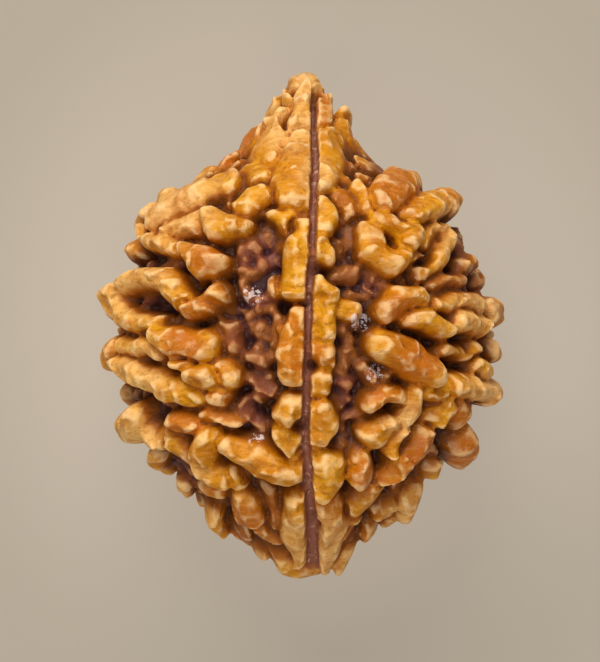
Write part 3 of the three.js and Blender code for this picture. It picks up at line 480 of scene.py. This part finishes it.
def scatterLobes(lobes, draw):  # one more lobe wherever the envelope is still bare
    for scatter in scatters:
        count = scatter["count"]
        steps = np.arange(count)
        y = beadShape["tipMargin"] * beadShape["halfLength"] * (1 - (2 * steps + 1) / count)
        turns = math.pi * (3 - math.sqrt(5)) * steps  # a spiral that spreads them evenly
        centres = envelopePoint(y, turns % (2 * math.pi))
        insets = envelopeAt(y)[2]
        covered = coverAt(centres, lobes, insets)
        for i, centre in enumerate(centres):
            if covered[i] > scatter["cover"] * insets[i]:
                continue
            half = np.interp(draw(), (0, 1), scatter["length"]) / 2
            turn = scatterTurn * (2 * draw() - 1)
            ring = np.array([-centre[2], 0, centre[0]])
            way = ring / np.linalg.norm(ring) * math.cos(turn)
            way[1] = math.sin(turn)
            width = np.interp(draw(), (0, 1), scatter["width"])
            ends = [(ontoEnvelope(centre + side * half * way), width) for side in (-1, 1)]
            lift = np.interp(draw(), (0, 1), scatter["lift"])
            lobes.append((lift, ends, beadShape["flankKind"]))
            covered = np.maximum(covered, coverAt(centres, lobes[-1:], insets))


def allLobes():
    draw = seededDraw(secondFace["seed"])
    faceLobes = [(lobe, beadShape["headKind"]) for lobe in headLobes]
    faceLobes += [(lobe, beadShape["ridgeKind"]) for lobe in ridgeLobes]
    faceLobes += [(lobe, beadShape["flankKind"]) for lobe in leftLobes + rightLobes]
    lobes = [faceLobe(lobe, 1, kind) for lobe, kind in faceLobes]
    lobes += [faceLobe(varied(lobe, draw), -1, kind) for lobe, kind in faceLobes]
    lobes += [sideLobe(lobe) for lobe in sideLobes]
    scatterLobes(lobes, draw)
    for number, lobe in fullerLobes.items():
        lobes[number] = faceLobe(lobe, 1, lobes[number][2])
    lobes.append(faceLobe(stemRim, 1, beadShape["headKind"]))
    return lobes


def bevelled(height, width, offset, lobe, number):  # flat cuts round the top of a lobe
    chance = np.random.default_rng(number)
    _, nodes, (_, _, cutShare) = lobe
    along = nodes[-1][0] - nodes[0][0]
    along = along / np.linalg.norm(along)
    centre = (nodes[-1][0] + nodes[0][0]) / 2
    across, depth, _ = envelopeAt(centre[1])
    outward = centre / np.array([across, beadShape["halfLength"], depth]) ** 2
    aside = np.cross(outward, along)
    aside = aside / np.linalg.norm(aside)
    cut = np.zeros(len(height))
    spread = beadShape["bevelSpread"]
    for angle in (0, 90, 180, 270, 45 + 90 * chance.integers(4)):
        angle = math.radians(angle + chance.uniform(-spread, spread))
        way = along * math.cos(angle) + aside * math.sin(angle)
        slope = chance.uniform(*beadShape["bevelSlope"])
        start = chance.uniform(*beadShape["bevelFrom"])
        cut = np.maximum(cut, slope * (offset @ way / width - start))
    return height - cutShare * width * cut


def fusedShare(points):  # 0 where lobes stand apart and near 1 where they have grown together
    most, over = beadShape["fusedFade"]
    fused = np.clip(beadShape["fusedLeast"] + swing(points, "fusedNoise"), 0, 1)
    fused = fused * np.clip(most - np.abs(points[:, 1]) / over, 0, 1)
    fused = beadShape["fused"] * fused
    start, fall = beadShape["spotFade"]
    for x, y, radius in beadShape["fusedSpots"]:
        gap = np.hypot(points[:, 0] - x, points[:, 1] - y) / radius
        spot = np.clip(start - fall * gap, 0, beadShape["spotMost"])
        fused = np.maximum(fused, spot * (points[:, 2] > 0))
    return fused


def relief(points, lobes):  # the skin's height over the floor, and the lobe that it belongs to
    height = np.zeros(len(points))
    second = np.zeros(len(points))  # the height of the next lobe beneath the highest one
    owner = np.full(len(points), -1)
    insets = envelopeAt(points[:, 1])[2]
    swell = 1 + swing(points, "swell")
    for number, lobe in enumerate(lobes):
        near, share, width, offset, lobeHeight = lobeHeights(points, lobe, insets, swell)
        if not len(near):
            continue
        lobeHeight = skirted(bevelled(lobeHeight, width, offset, lobe, number), share)
        better = lobeHeight > height[near]
        second[near] = np.where(better, height[near], np.maximum(second[near], lobeHeight))
        height[near] = np.where(better, lobeHeight, height[near])
        owner[near[better]] = number
    closeness = 1 - np.clip((height - second) / beadShape["creviceReach"], 0, 1)
    outOfSide = np.abs(points[:, 2]) - beadShape["sideUpTo"]
    turned = np.clip(outOfSide / beadShape["faceOver"], 0, 1)  # 0 on the sides, 1 on the two faces
    depth = np.interp(turned, (0, 1), beadShape["creviceDepth"])
    depth = depth * np.minimum(1, beadShape["endShallow"] * insets / beadShape["insetMost"])
    fused = fusedShare(points)
    gain = beadShape["fill"] * fused * closeness ** 2
    gain = gain - depth * (1 - fused) * closeness ** beadShape["crevicePower"]
    height = height + gain * (height > beadShape["bareBelow"])
    gap = cellGap(points, beadShape["pebbleSize"], beadShape["pebbleSeed"])
    pebble = beadShape["pebbleTop"] - beadShape["pebbleFall"] * gap ** 2
    onSide = beadShape["pebbleOnSide"]
    pebble = pebble * (onSide + (1 - onSide) * turned)
    return np.maximum(height, pebble * insets / beadShape["insetMost"]), owner


def roughened(height, top, warp):  # small lumps, facets and dents, and the mouth of the hole
    height = height + (swing(top, "lumps") + swing(top, "grain"))
    amount, size, seed = beadShape["facets"]
    height += amount * facetsAt(top + beadShape["facetWarp"] * warp, size, seed)
    amount, size, seed = beadShape["dents"]
    gap = cellGap(top + beadShape["dentWarp"] * warp, size, seed)
    height -= amount * np.clip(1 - (gap / beadShape["dentReach"]) ** 2, 0, 1)
    x, y, radius = beadShape["stemPit"]
    gap = np.hypot(top[:, 0] - x, top[:, 1] - y) / radius
    gap += beyond * (top[:, 2] < 0)  # only on the upper face
    ring, thick = beadShape["rimRing"]
    height += beadShape["pitRim"] * np.exp(-((gap - ring) / thick) ** 2)
    start, fall = beadShape["pitFade"]
    height -= beadShape["pitDepth"] * np.clip(start - fall * gap, 0, 1)
    return height


def growBead():  # the bead, its grown points and what the material has to know of them
    bpy.ops.object.select_all(action="DESELECT")
    bpy.ops.mesh.primitive_ico_sphere_add(subdivisions=beadShape["subdivisions"], radius=1)
    bead = bpy.context.object
    bead.name = "rudraksha_bead"
    ball = pointsOf(bead.data)
    ball /= np.linalg.norm(ball, axis=1)[:, None]
    limit = beadShape["poleMargin"] * beadShape["halfLength"]
    y = np.arcsin(np.clip(ball[:, 1], -1, 1)) * 2 / math.pi * beadShape["halfLength"]
    y = np.clip(y, -limit, limit)
    turn = np.arctan2(ball[:, 2], ball[:, 0])
    top = envelopePoint(y, turn)
    lobes = allLobes()
    warp = swing(top, "bend") + swing(top, "wobble")
    rows = np.array(seamLine)
    seamX = np.interp(y, rows[:, 0], rows[:, 1]) * np.where(top[:, 2] > 0, 1, -1)
    aside = top[:, 0] - seamX
    place = top + warp
    place[:, 0] += np.sign(aside) * np.maximum(0, beadShape["ridgeFlat"] - np.abs(aside))
    height, owner = relief(place, lobes)
    inset = envelopeAt(y)[2]
    height = roughened(np.maximum(height, 0), top, warp)
    away = np.abs(aside + swing(top, "seamDrift"))
    reach = np.interp(y, beadShape["seamRows"], beadShape["seamHalfWidth"])
    reach = reach * (1 + swing(top, "seamVaries"))
    onFace = (np.abs(top[:, 2]) > beadShape["seamEdge"]) & (y < beadShape["seamTop"])
    inSeam = (away < reach) & onFace
    height = np.where(inSeam, np.minimum(height, inset - beadShape["seamDepth"]), height)
    floor = floorPoint(y, turn)
    points = floor + (top - floor) * (height / inset)[:, None] - np.array(beadShape["middle"])
    points[:, 2] = np.maximum(points[:, 2], beadShape["restsAt"])
    setPoints(bead.data, points)
    lifts = np.array([lobe[0] for lobe in lobes] + [0])
    marks = {"owner": owner, "lift": lifts[owner], "below": inset - height}
    marks["seam"] = inSeam.astype(float)
    return bead, points, marks


def applied(obj, kind, settings):  # adds a modifier, sets it and applies it
    modifier = obj.modifiers.new(kind.lower(), kind)
    for name, value in settings.items():
        setattr(modifier, name, value)
    bpy.ops.object.modifier_apply(modifier=modifier.name)


def easeSkin(bead):
    settings = {"factor": beadShape["smoothing"], "iterations": beadShape["eased"]}
    applied(bead, "SMOOTH", settings)


def boreHole(bead):  # the string hole from tip to tip
    middle = Vector(beadShape["middle"])
    foot, stem = (Vector(end) - middle for end in beadShape["hole"])
    bpy.ops.object.select_all(action="DESELECT")
    bpy.ops.mesh.primitive_cylinder_add(
        vertices=beadShape["holeSides"], radius=beadShape["holeRadius"], depth=(stem - foot).length,
        location=(foot + stem) / 2, rotation=(stem - foot).to_track_quat("Z", "Y").to_euler())
    rod = bpy.context.object
    bpy.ops.object.select_all(action="DESELECT")
    bpy.context.view_layer.objects.active = bead
    applied(bead, "BOOLEAN", {"operation": "DIFFERENCE", "object": rod, "solver": "MANIFOLD"})
    bpy.data.objects.remove(rod)


def dropSpecks(bead):  # keeps only what hangs together with the highest point
    mesh = bead.data
    highest = int(np.argmax(pointsOf(mesh)[:, 2]))
    bpy.ops.object.mode_set(mode="EDIT")
    bpy.ops.mesh.select_mode(type="VERT")
    bpy.ops.mesh.select_all(action="DESELECT")
    bpy.ops.object.mode_set(mode="OBJECT")
    mesh.vertices[highest].select = True
    bpy.ops.object.mode_set(mode="EDIT")
    bpy.ops.mesh.select_linked()
    bpy.ops.mesh.select_all(action="INVERT")
    bpy.ops.mesh.delete(type="VERT")
    bpy.ops.object.mode_set(mode="OBJECT")


def evenSkin(bead):  # one closed skin, with small faces on walls and tops and larger flat ones
    applied(bead, "REMESH", {"mode": "VOXEL", "voxel_size": beadShape["voxel"]})
    easeSkin(bead)
    dropSpecks(bead)
    triangles = 2 * len(bead.data.polygons)
    if triangles > beadShape["mostFaces"]:
        applied(bead, "DECIMATE", {"ratio": beadShape["mostFaces"] / triangles})


bead, grownPoints, marks = growBead()
print("bead grown")
easeSkin(bead)
boreHole(bead)
print("string hole bored")
evenSkin(bead)
print("skin evened,", len(bead.data.polygons), "faces")


def neighbourMean(values, edges, count):  # each vertex's mean over the vertices it is joined to
    total = np.zeros((len(values), values.shape[1]))
    for column in range(values.shape[1]):
        total[:, column] = np.bincount(edges[:, 0], values[edges[:, 1], column], len(values))
        total[:, column] += np.bincount(edges[:, 1], values[edges[:, 0], column], len(values))
    return total / count[:, None]


def averaged(values, edges, rounds):
    count = np.maximum(1, np.bincount(edges.ravel(), minlength=len(values)))
    for _ in range(rounds):
        values = neighbourMean(values, edges, count)
    return values


def curvature(points, normals, edges, rounds):  # how far a vertex stands out of its surroundings
    return np.sum((points - averaged(points, edges, rounds)) * normals, axis=1)


def addMark(mesh, name, values):
    layer = mesh.attributes.new(name, "FLOAT", "POINT")
    layer.data.foreach_set("value", np.clip(values, 0, 1).astype(np.float32))


def fromAxis(points):  # how far each point is from the middle line of the string hole
    foot, stem = (np.array(end) - beadShape["middle"] for end in beadShape["hole"])
    along = (stem - foot) / np.linalg.norm(stem - foot)
    away = points - foot
    return np.linalg.norm(away - (away @ along)[:, None] * along, axis=1)


def spots(points, places):  # 1 within some round places on the upper face, fading out round them
    shade = np.zeros(len(points))
    for x, y, radius in places:
        away = points[:, :2] - np.array([x, y]) + np.array(beadShape["middle"][:2])
        spot = beadColour["spotCore"] - np.linalg.norm(away, axis=1) / radius
        shade = np.maximum(shade, spot)
    return shade * (points[:, 2] > beadColour["spotsAbove"])


def markBead(bead, grownPoints, marks):  # what the material needs to know at each vertex
    mesh = bead.data
    points = pointsOf(mesh)
    normals = np.empty(len(points) * 3, dtype=np.float32)
    mesh.vertex_normals.foreach_get("vector", normals)
    normals = normals.reshape(-1, 3)
    edges = np.empty(len(mesh.edges) * 2, dtype=np.int32)
    mesh.edges.foreach_get("vertices", edges)
    edges = edges.reshape(-1, 2)
    tree = kdtree.KDTree(len(grownPoints))
    for i, point in enumerate(grownPoints):
        tree.insert(point, i)
    tree.balance()
    source = np.array([tree.find(point)[1] for point in points])
    owner = marks["owner"][source]
    tints = np.random.default_rng(beadColour["seed"]).uniform(0, 1, owner.max() + 2)
    fine = curvature(points, normals, edges, beadColour["fineRounds"])
    broad = curvature(points, normals, edges, beadColour["broadRounds"])
    below = marks["below"][source]
    # painted shade: the wall of the string hole gets a crevice's depth, so the material paints it
    # dark
    bore = fromAxis(points) < beadShape["holeRadius"] + beadColour["boreWall"]
    below[bore] = np.maximum(below[bore], beadColour["boreBelow"])
    rough = np.stack([tints[owner], below, -marks["lift"][source], marks["seam"][source]], axis=1)
    soft = averaged(rough, edges, beadColour["softRounds"])
    softer = averaged(soft, edges, beadColour["softerRounds"])
    addMark(mesh, "tint", soft[:, 0])
    addMark(mesh, "edge", fine / beadColour["edgeFull"])
    addMark(mesh, "crest", broad / beadColour["crestFull"])
    addMark(mesh, "nook", -broad / beadColour["nookFull"])
    addMark(mesh, "below", soft[:, 1] / beadColour["belowFull"])
    addMark(mesh, "sunken", softer[:, 2])
    addMark(mesh, "seam", soft[:, 3])
    for name in ("frostAndGlints", "palerPlaces", "ripe"):
        addMark(mesh, name, spots(points, beadColour[name]))


class Wire:  # a shader socket that takes part in expressions
    def __init__(self, look, socket):
        self.look, self.socket = look, socket

    def maths(self, operation, first, second):
        return self.look.add("ShaderNodeMath", {"operation": operation}, {0: first, 1: second})

    def __add__(self, other):
        return self.maths("ADD", self, other)

    def __radd__(self, other):
        return self.maths("ADD", other, self)

    def __sub__(self, other):
        return self.maths("SUBTRACT", self, other)

    def __rsub__(self, other):
        return self.maths("SUBTRACT", other, self)

    def __mul__(self, other):
        return self.maths("MULTIPLY", self, other)

    def __rmul__(self, other):
        return self.maths("MULTIPLY", other, self)


class Look:  # one material and its nodes
    def __init__(self, name):
        self.material = bpy.data.materials.new(name)
        self.material.use_nodes = True
        self.tree = self.material.node_tree
        self.shader = self.tree.nodes["Principled BSDF"]

    def add(self, kind, settings, sockets, out=0):  # any node: its settings first, then its sockets
        node = self.tree.nodes.new(kind)
        for name, value in settings.items():
            setattr(node, name, value)
        self.fill(node, sockets)
        return Wire(self, node.outputs[out])

    def fill(self, node, sockets):
        for name, value in sockets.items():
            if isinstance(value, Wire):
                self.tree.links.new(value.socket, node.inputs[name])
            else:
                node.inputs[name].default_value = value

    def mark(self, name):
        return self.add("ShaderNodeAttribute", {"attribute_name": name}, {}, out="Fac")

    def place(self):
        return self.add("ShaderNodeTexCoord", {}, {}, out="Object")

    def scaled(self, place, scale):
        return self.add("ShaderNodeMapping", {}, {"Vector": place, "Scale": scale})

    def noise(self, place, size, detail=2.0, roughness=0.5, warp=0.0):  # size in metres
        sockets = {"Vector": place, "Scale": 1 / size, "Detail": detail, "Roughness": roughness,
                   "Distortion": warp}
        return self.add("ShaderNodeTexNoise", {}, sockets, out="Fac")

    def step(self, value, low, high):  # 0 below low and 1 above high, eased in between
        settings = {"interpolation_type": "SMOOTHSTEP", "clamp": True}
        sockets = {"Value": value, "From Min": low, "From Max": high}
        return self.add("ShaderNodeMapRange", settings, sockets)

    def blend(self, share, first, second):
        settings = {"data_type": "RGBA", "clamp_factor": True}
        return self.add("ShaderNodeMix", settings, {0: share, 6: first, 7: second}, out=2)

    def bump(self, height, strength, distance):
        sockets = {"Height": height, "Strength": strength, "Distance": distance}
        return self.add("ShaderNodeBump", {}, sockets, out="Normal")


def rgb(red, green, blue):  # a colour as seen on screen, in the linear values that sockets take
    return tuple(((v / 255 + 0.055) / 1.055) ** 2.4 if v > 10 else v / 255 / 12.92
                 for v in (red, green, blue)) + (1,)


beadColour = {
    "seed": 12,  # of the tint of each lobe
    "amber": rgb(206, 130, 0), "honey": rgb(216, 146, 0), "orange": rgb(186, 92, 0),
    "tan": rgb(238, 170, 50), "peach": rgb(252, 212, 152), "brown": rgb(116, 60, 6),
    "stained": rgb(168, 90, 2), "palerTan": rgb(240, 188, 112), "deepAmber": rgb(178, 102, 0),
    # painted shade and highlight: the darker of these colours are painted into the walls, bottoms
    # and hollows of the crevices, and a pink tan is painted as highlight on the tops of the sunken
    # lumps
    "shade": rgb(160, 84, 4), "maroon": rgb(122, 64, 48), "umber": rgb(146, 84, 36),
    "pinkHighlight": rgb(186, 118, 70), "crevice": rgb(72, 34, 12), "valleyShade": rgb(66, 33, 34),
    "hollowShadow": rgb(46, 24, 30), "seamDark": rgb(150, 94, 74), "seamPale": rgb(206, 164, 138),
    "frostAndGlintWhite": rgb(236, 220, 216),
    # the marks at each vertex: rounds of averaging, and the millimetres at which a mark is full
    "fineRounds": 3, "broadRounds": 14, "softRounds": 3, "softerRounds": 9,
    "edgeFull": 0.05, "crestFull": 0.25, "nookFull": 0.3, "belowFull": 2.4,
    "boreWall": 0.12, "boreBelow": 1.4,  # painted shade: the wall of the string hole is painted as dark as a crevice
    # places on the upper face, as (x, y, radius): white crystals, paler patches, deeper orange
    "spotsAbove": 5.5, "spotCore": 1.4,
    # white crystals: whitish residue in the valleys, partly also painted glints
    "frostAndGlints": [(-2.3, 1.4, 0.55), (2.6, 0.2, 0.5), (3.3, -2.2, 0.5), (-2.2, -5.2, 0.4)],
    "palerPlaces": [(-6.2, 6.0, 2.6), (-0.8, 9.3, 1.5), (0, 11.3, 1.2), (-8.0, 1.8, 2.0), (8.0, 0.8, 1.6),
             (7.0, 4.6, 1.3), (8.6, -3.0, 1.2), (-7.6, -2.0, 1.7), (-7.8, -5.2, 1.6),
             (1.2, -10.3, 1.7), (-0.8, -10.2, 1.5), (4.8, -8.8, 1.2), (-5.5, -7.2, 1.2),
             (4.6, -4.2, 1.1), (0.6, 7.0, 1.0)],
    "ripe": [(-2.8, -9.3, 1.2), (7.3, -5.7, 1.3), (-3.4, 7.9, 0.9), (4.3, 6.3, 1.4),
             (4.4, 0.6, 1.1), (-4.4, 3.1, 1.0), (5.2, -1.5, 1.5), (-5.6, -0.8, 1.2),
             (2.9, -6.9, 1.0), (5.6, -6.0, 1.0)],
    # noises as (size in metres, detail, roughness, warp)
    "cloud": (0.0022, 3.0, 0.6), "speck": (0.00028, 3.0, 0.65), "stain": (0.0007, 4.0, 0.65),
    "patch": (0.0012, 2.0, 0.5, 0.6), "pits": (0.00042, 2.0, 0.5), "grain": (0.00009, 2.0, 0.6),
    "fibre": (0.00012, 2.0), "streak": (0.00022, 3.0, 0.7, 0.4),
    "fibreScale": (1, 0.25, 1), "streakScale": (0.22, 1, 1),  # drawn out along the bead, and across
    # colours laid over the ones before them, as (how much, starts at, full at, colour)
    "skinLayers": {
        "yellowLobes": (1, 0.15, 0.6, "honey"), "redLobes": (0.9, 0.72, 0.95, "orange"),
        # tops: the crests paler, partly the skin's own tone and partly a painted highlight
        "specks": (0.4, 0.5, 0.72, "orange"), "tops": (0.5, 0.15, 0.9, "tan"),
        "palerPlaceLayer": (0.7, 0.2, 1.0, "palerTan"), "ripeSpots": (0.8, 0.2, 0.9, "orange"),
        "stains": (0.6, 0.5, 0.7, "stained"), "darkStreaks": (0.35, 0.5, 0.66, "stained"),
        "paleStreaks": (0.14, 0.5, 0.66, "peach"), "patches": (0.45, 0.48, 0.62, "deepAmber"),
    },
    "wallLayers": {
        # painted shade: orange-brown, then brown, down the walls of the crevices, darker the deeper
        # they lie
        "upperWallShade": (1, 0.08, 0.30, "shade"), "lowerWallShade": (1, 0.21, 0.42, "brown"),
        # painted highlight: pale peach along the sharp edges of the lobes
        "rimHighlights": (0.75, 0.45, 1.25, "peach"),
    },
    "valleyLayers": {
        # painted highlight: pink tan on the crests of the sunken lumps
        "paleLumps": (1, 0.3, 0.7, "umber"), "lumpHighlights": (0.7, 0.4, 1.2, "pinkHighlight"),
    },
    "seamLayers": {"specks": (1, 0.55, 0.7, "seamPale")},
    "pitShare": 0.3, "pitFrom": (0.28, 0.42),
    "valleyShare": 0.85, "valleyFrom": (0.2, 0.9), "deepShadeFrom": (0.42, 0.7),
    "hollowShadowFrom": (0.7, 1.05),
    "frostAndGlintShare": 0.7, "frostAndGlintSpeck": (0.42, 0.6), "frostAndGlintFrom": (0.35, 0.6),
    "dullFrom": (0.4, 1.4), "roughness": 0.42, "ior": 1.46, "specular": 0.22,
    "coat": 0.07, "coatRoughness": 0.16, "coatIor": 1.45, "bump": (0.6, 0.00012),
}


def layered(look, colour, layers, where):  # lays each colour where its value is high
    for name, (most, low, high, tone) in layers.items():
        share = most * look.step(where[name], low, high)
        colour = look.blend(share, colour, beadColour[tone])
    return colour


def oiledStone():
    look = Look("oiledStone")
    c = beadColour
    place = look.place()
    tint, edge, crest, nook = (look.mark(name) for name in ("tint", "edge", "crest", "nook"))
    below, sunken, seam, frostAndGlints = (look.mark(name) for name in ("below", "sunken", "seam", "frostAndGlints"))
    palerPlaces, ripe = look.mark("palerPlaces"), look.mark("ripe")
    cloud, speck, stain = (look.noise(place, *c[name]) for name in ("cloud", "speck", "stain"))
    patch, grain = look.noise(place, *c["patch"]), look.noise(place, *c["grain"])
    fibre = look.noise(look.scaled(place, c["fibreScale"]), *c["fibre"])
    streak = look.noise(look.scaled(place, c["streakScale"]), *c["streak"])
    pits = look.step(look.noise(place, *c["pits"]), *c["pitFrom"])  # 0 in a pit

    colour = layered(look, c["amber"], c["skinLayers"], {
        "yellowLobes": tint + 0.5 * (cloud - 0.5), "redLobes": tint + 0.3 * (cloud - 0.5),
        # tops: paler crests, partly the skin's own tone, partly painted highlight
        "specks": speck, "tops": crest + 0.25 * (speck - 0.5) + 0.3 * (cloud - 0.5),
        # paler at the listed places
        "palerPlaceLayer": palerPlaces + 0.9 * (stain - 0.5), "ripeSpots": ripe + 0.6 * (stain - 0.5),
        "stains": stain, "darkStreaks": streak, "paleStreaks": 1 - streak, "patches": patch,
    })
    colour = look.blend(c["pitShare"] - c["pitShare"] * pits, colour, c["brown"])
    # low: how deep the skin lies below the envelope and how hollow it is, which the painted shade
    # follows
    low = below + 0.4 * nook + 0.12 * (cloud - 0.5) + 0.12 * (stain - 0.5)
    colour = layered(look, colour, c["wallLayers"], {
        # painted highlight on the sharp rims of the lobes
        "upperWallShade": low, "lowerWallShade": low, "rimHighlights": edge - 0.3 * below,
    })
    # the sunken lumps: partly their own duller maroon skin, partly painted shade that darkens the
    # valleys
    valley = look.step(sunken + 0.3 * (cloud - 0.5), *c["valleyFrom"])
    valleyColour = layered(look, c["maroon"], c["valleyLayers"], {
        # painted highlight on the crests of the sunken lumps
        "paleLumps": tint + 0.6 * (cloud - 0.5), "lumpHighlights": crest + edge + 0.5 * (speck - 0.5),
    })
    colour = look.blend(c["valleyShare"] * valley, colour, valleyColour)
    # painted shade: dark brown at the bottoms of the crevices, purple-brown in the valleys
    deepShade = look.step(low, *c["deepShadeFrom"])
    colour = look.blend(deepShade, colour, look.blend(valley, c["crevice"], c["valleyShade"]))
    # painted shadow: near black-purple in the deepest hollows
    colour = look.blend(look.step(low, *c["hollowShadowFrom"]), colour, c["hollowShadow"])
    colour = look.blend(seam, colour, layered(look, c["seamDark"], c["seamLayers"],
                                              {"specks": speck}))
    # white crystals: partly whitish residue, partly painted glints
    crystalsAndGlints = look.step(frostAndGlints * look.step(speck, *c["frostAndGlintSpeck"]), *c["frostAndGlintFrom"])
    colour = look.blend(c["frostAndGlintShare"] * crystalsAndGlints, colour, c["frostAndGlintWhite"])

    dull = look.step(valley + deepShade, *c["dullFrom"])
    rough = c["roughness"] + 0.2 * stain + 0.12 * palerPlaces - 0.12 * dull + 0.3 * crystalsAndGlints
    height = 0.25 * streak + 0.6 * speck + 0.12 * grain + 0.4 * pits + 0.15 * fibre + 0.9 * stain
    look.fill(look.shader, {
        "Base Color": colour, "Roughness": rough, "IOR": c["ior"],
        "Specular IOR Level": c["specular"], "Coat Weight": c["coat"] - 0.03 * dull + 0.15 * ripe,
        "Coat Roughness": c["coatRoughness"], "Coat IOR": c["coatIor"],
        "Normal": look.bump(height, *c["bump"]),
    })
    return look.material


markBead(bead, grownPoints, marks)
print("bead marked")
setPoints(bead.data, pointsOf(bead.data) * millimetre)
bpy.ops.object.shade_smooth()
bead.data.materials.clear()
bead.data.materials.append(oiledStone())
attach(bead, "root")
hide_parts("bead")
print("bead dressed")

studio = {
    "floor": rgb(124, 116, 104), "floorGlowMiddle": rgb(206, 192, 175), "floorGlowEdge": rgb(170, 160, 143),
    "glowPower": 0.58, "glowReach": (0.007, 0.021),  # painted light: the floor glows, paler round the bead than at the corners
    "floorRough": 0.9, "floorSpecular": 0.1, "floorSize": 2.0,
    "lights": [  # name, place, disk size, watts, colour
        ("top window", (-0.04, 0.20, 0.19), 0.20, 0.72, (1, 0.98, 0.94)),
        ("front fill", (-0.04, -0.12, 0.26), 0.20, 0.30, (1, 0.98, 0.95)),
    ],
    "lightsAim": (0, 0, 0.007),
    "sky": (1.0, 0.97, 0.94, 1), "skyPower": 0.32,
}


def buildStudio():
    bpy.ops.object.select_all(action="DESELECT")
    bpy.ops.mesh.primitive_plane_add(size=studio["floorSize"])
    floor = bpy.context.object
    floor.name = "floor"
    look = Look("paleFloor")
    away = look.add("ShaderNodeVectorMath", {"operation": "LENGTH"}, {0: look.place()}, out="Value")
    share = look.step(away, *studio["glowReach"])
    # painted light: the floor glows, more round the bead than at the corners, which also fades the
    # bead's cast shadow
    look.fill(look.shader, {
        "Base Color": studio["floor"], "Roughness": studio["floorRough"],
        "Specular IOR Level": studio["floorSpecular"], "Emission Strength": studio["glowPower"],
        "Emission Color": look.blend(share, studio["floorGlowMiddle"], studio["floorGlowEdge"]),
    })
    floor.data.materials.append(look.material)
    for name, place, size, watts, colour in studio["lights"]:
        aim = (Vector(studio["lightsAim"]) - Vector(place)).to_track_quat("-Z", "Y").to_euler()
        bpy.ops.object.light_add(type="AREA", location=place, rotation=aim)
        lamp = bpy.context.object
        lamp.name = name
        lamp.data.shape = "DISK"
        lamp.data.size = size
        lamp.data.energy = watts
        lamp.data.color = colour
    world = bpy.context.scene.world or bpy.data.worlds.new("studio")
    bpy.context.scene.world = world
    world.use_nodes = True
    sky = world.node_tree.nodes["Background"].inputs
    sky["Color"].default_value = studio["sky"]
    sky["Strength"].default_value = studio["skyPower"]


photoView = {  # straight down
    "lens": 200, "distance": 0.175, "aim": (-0.000167, -0.000238, 0.007), "nearest": 0.01,
}


def addCamera():
    x, y, z = photoView["aim"]
    middle = [millimetre * v for v in beadShape["middle"]]
    place = (x - middle[0], y - middle[1], z + photoView["distance"])
    bpy.ops.object.camera_add(location=place, rotation=(0, 0, 0))
    camera = bpy.context.object
    camera.data.lens = photoView["lens"]
    camera.data.clip_start = photoView["nearest"]
    bpy.context.scene.camera = camera
    bpy.context.scene.view_settings.view_transform = "Standard"


buildStudio()
addCamera()
print("studio lit")
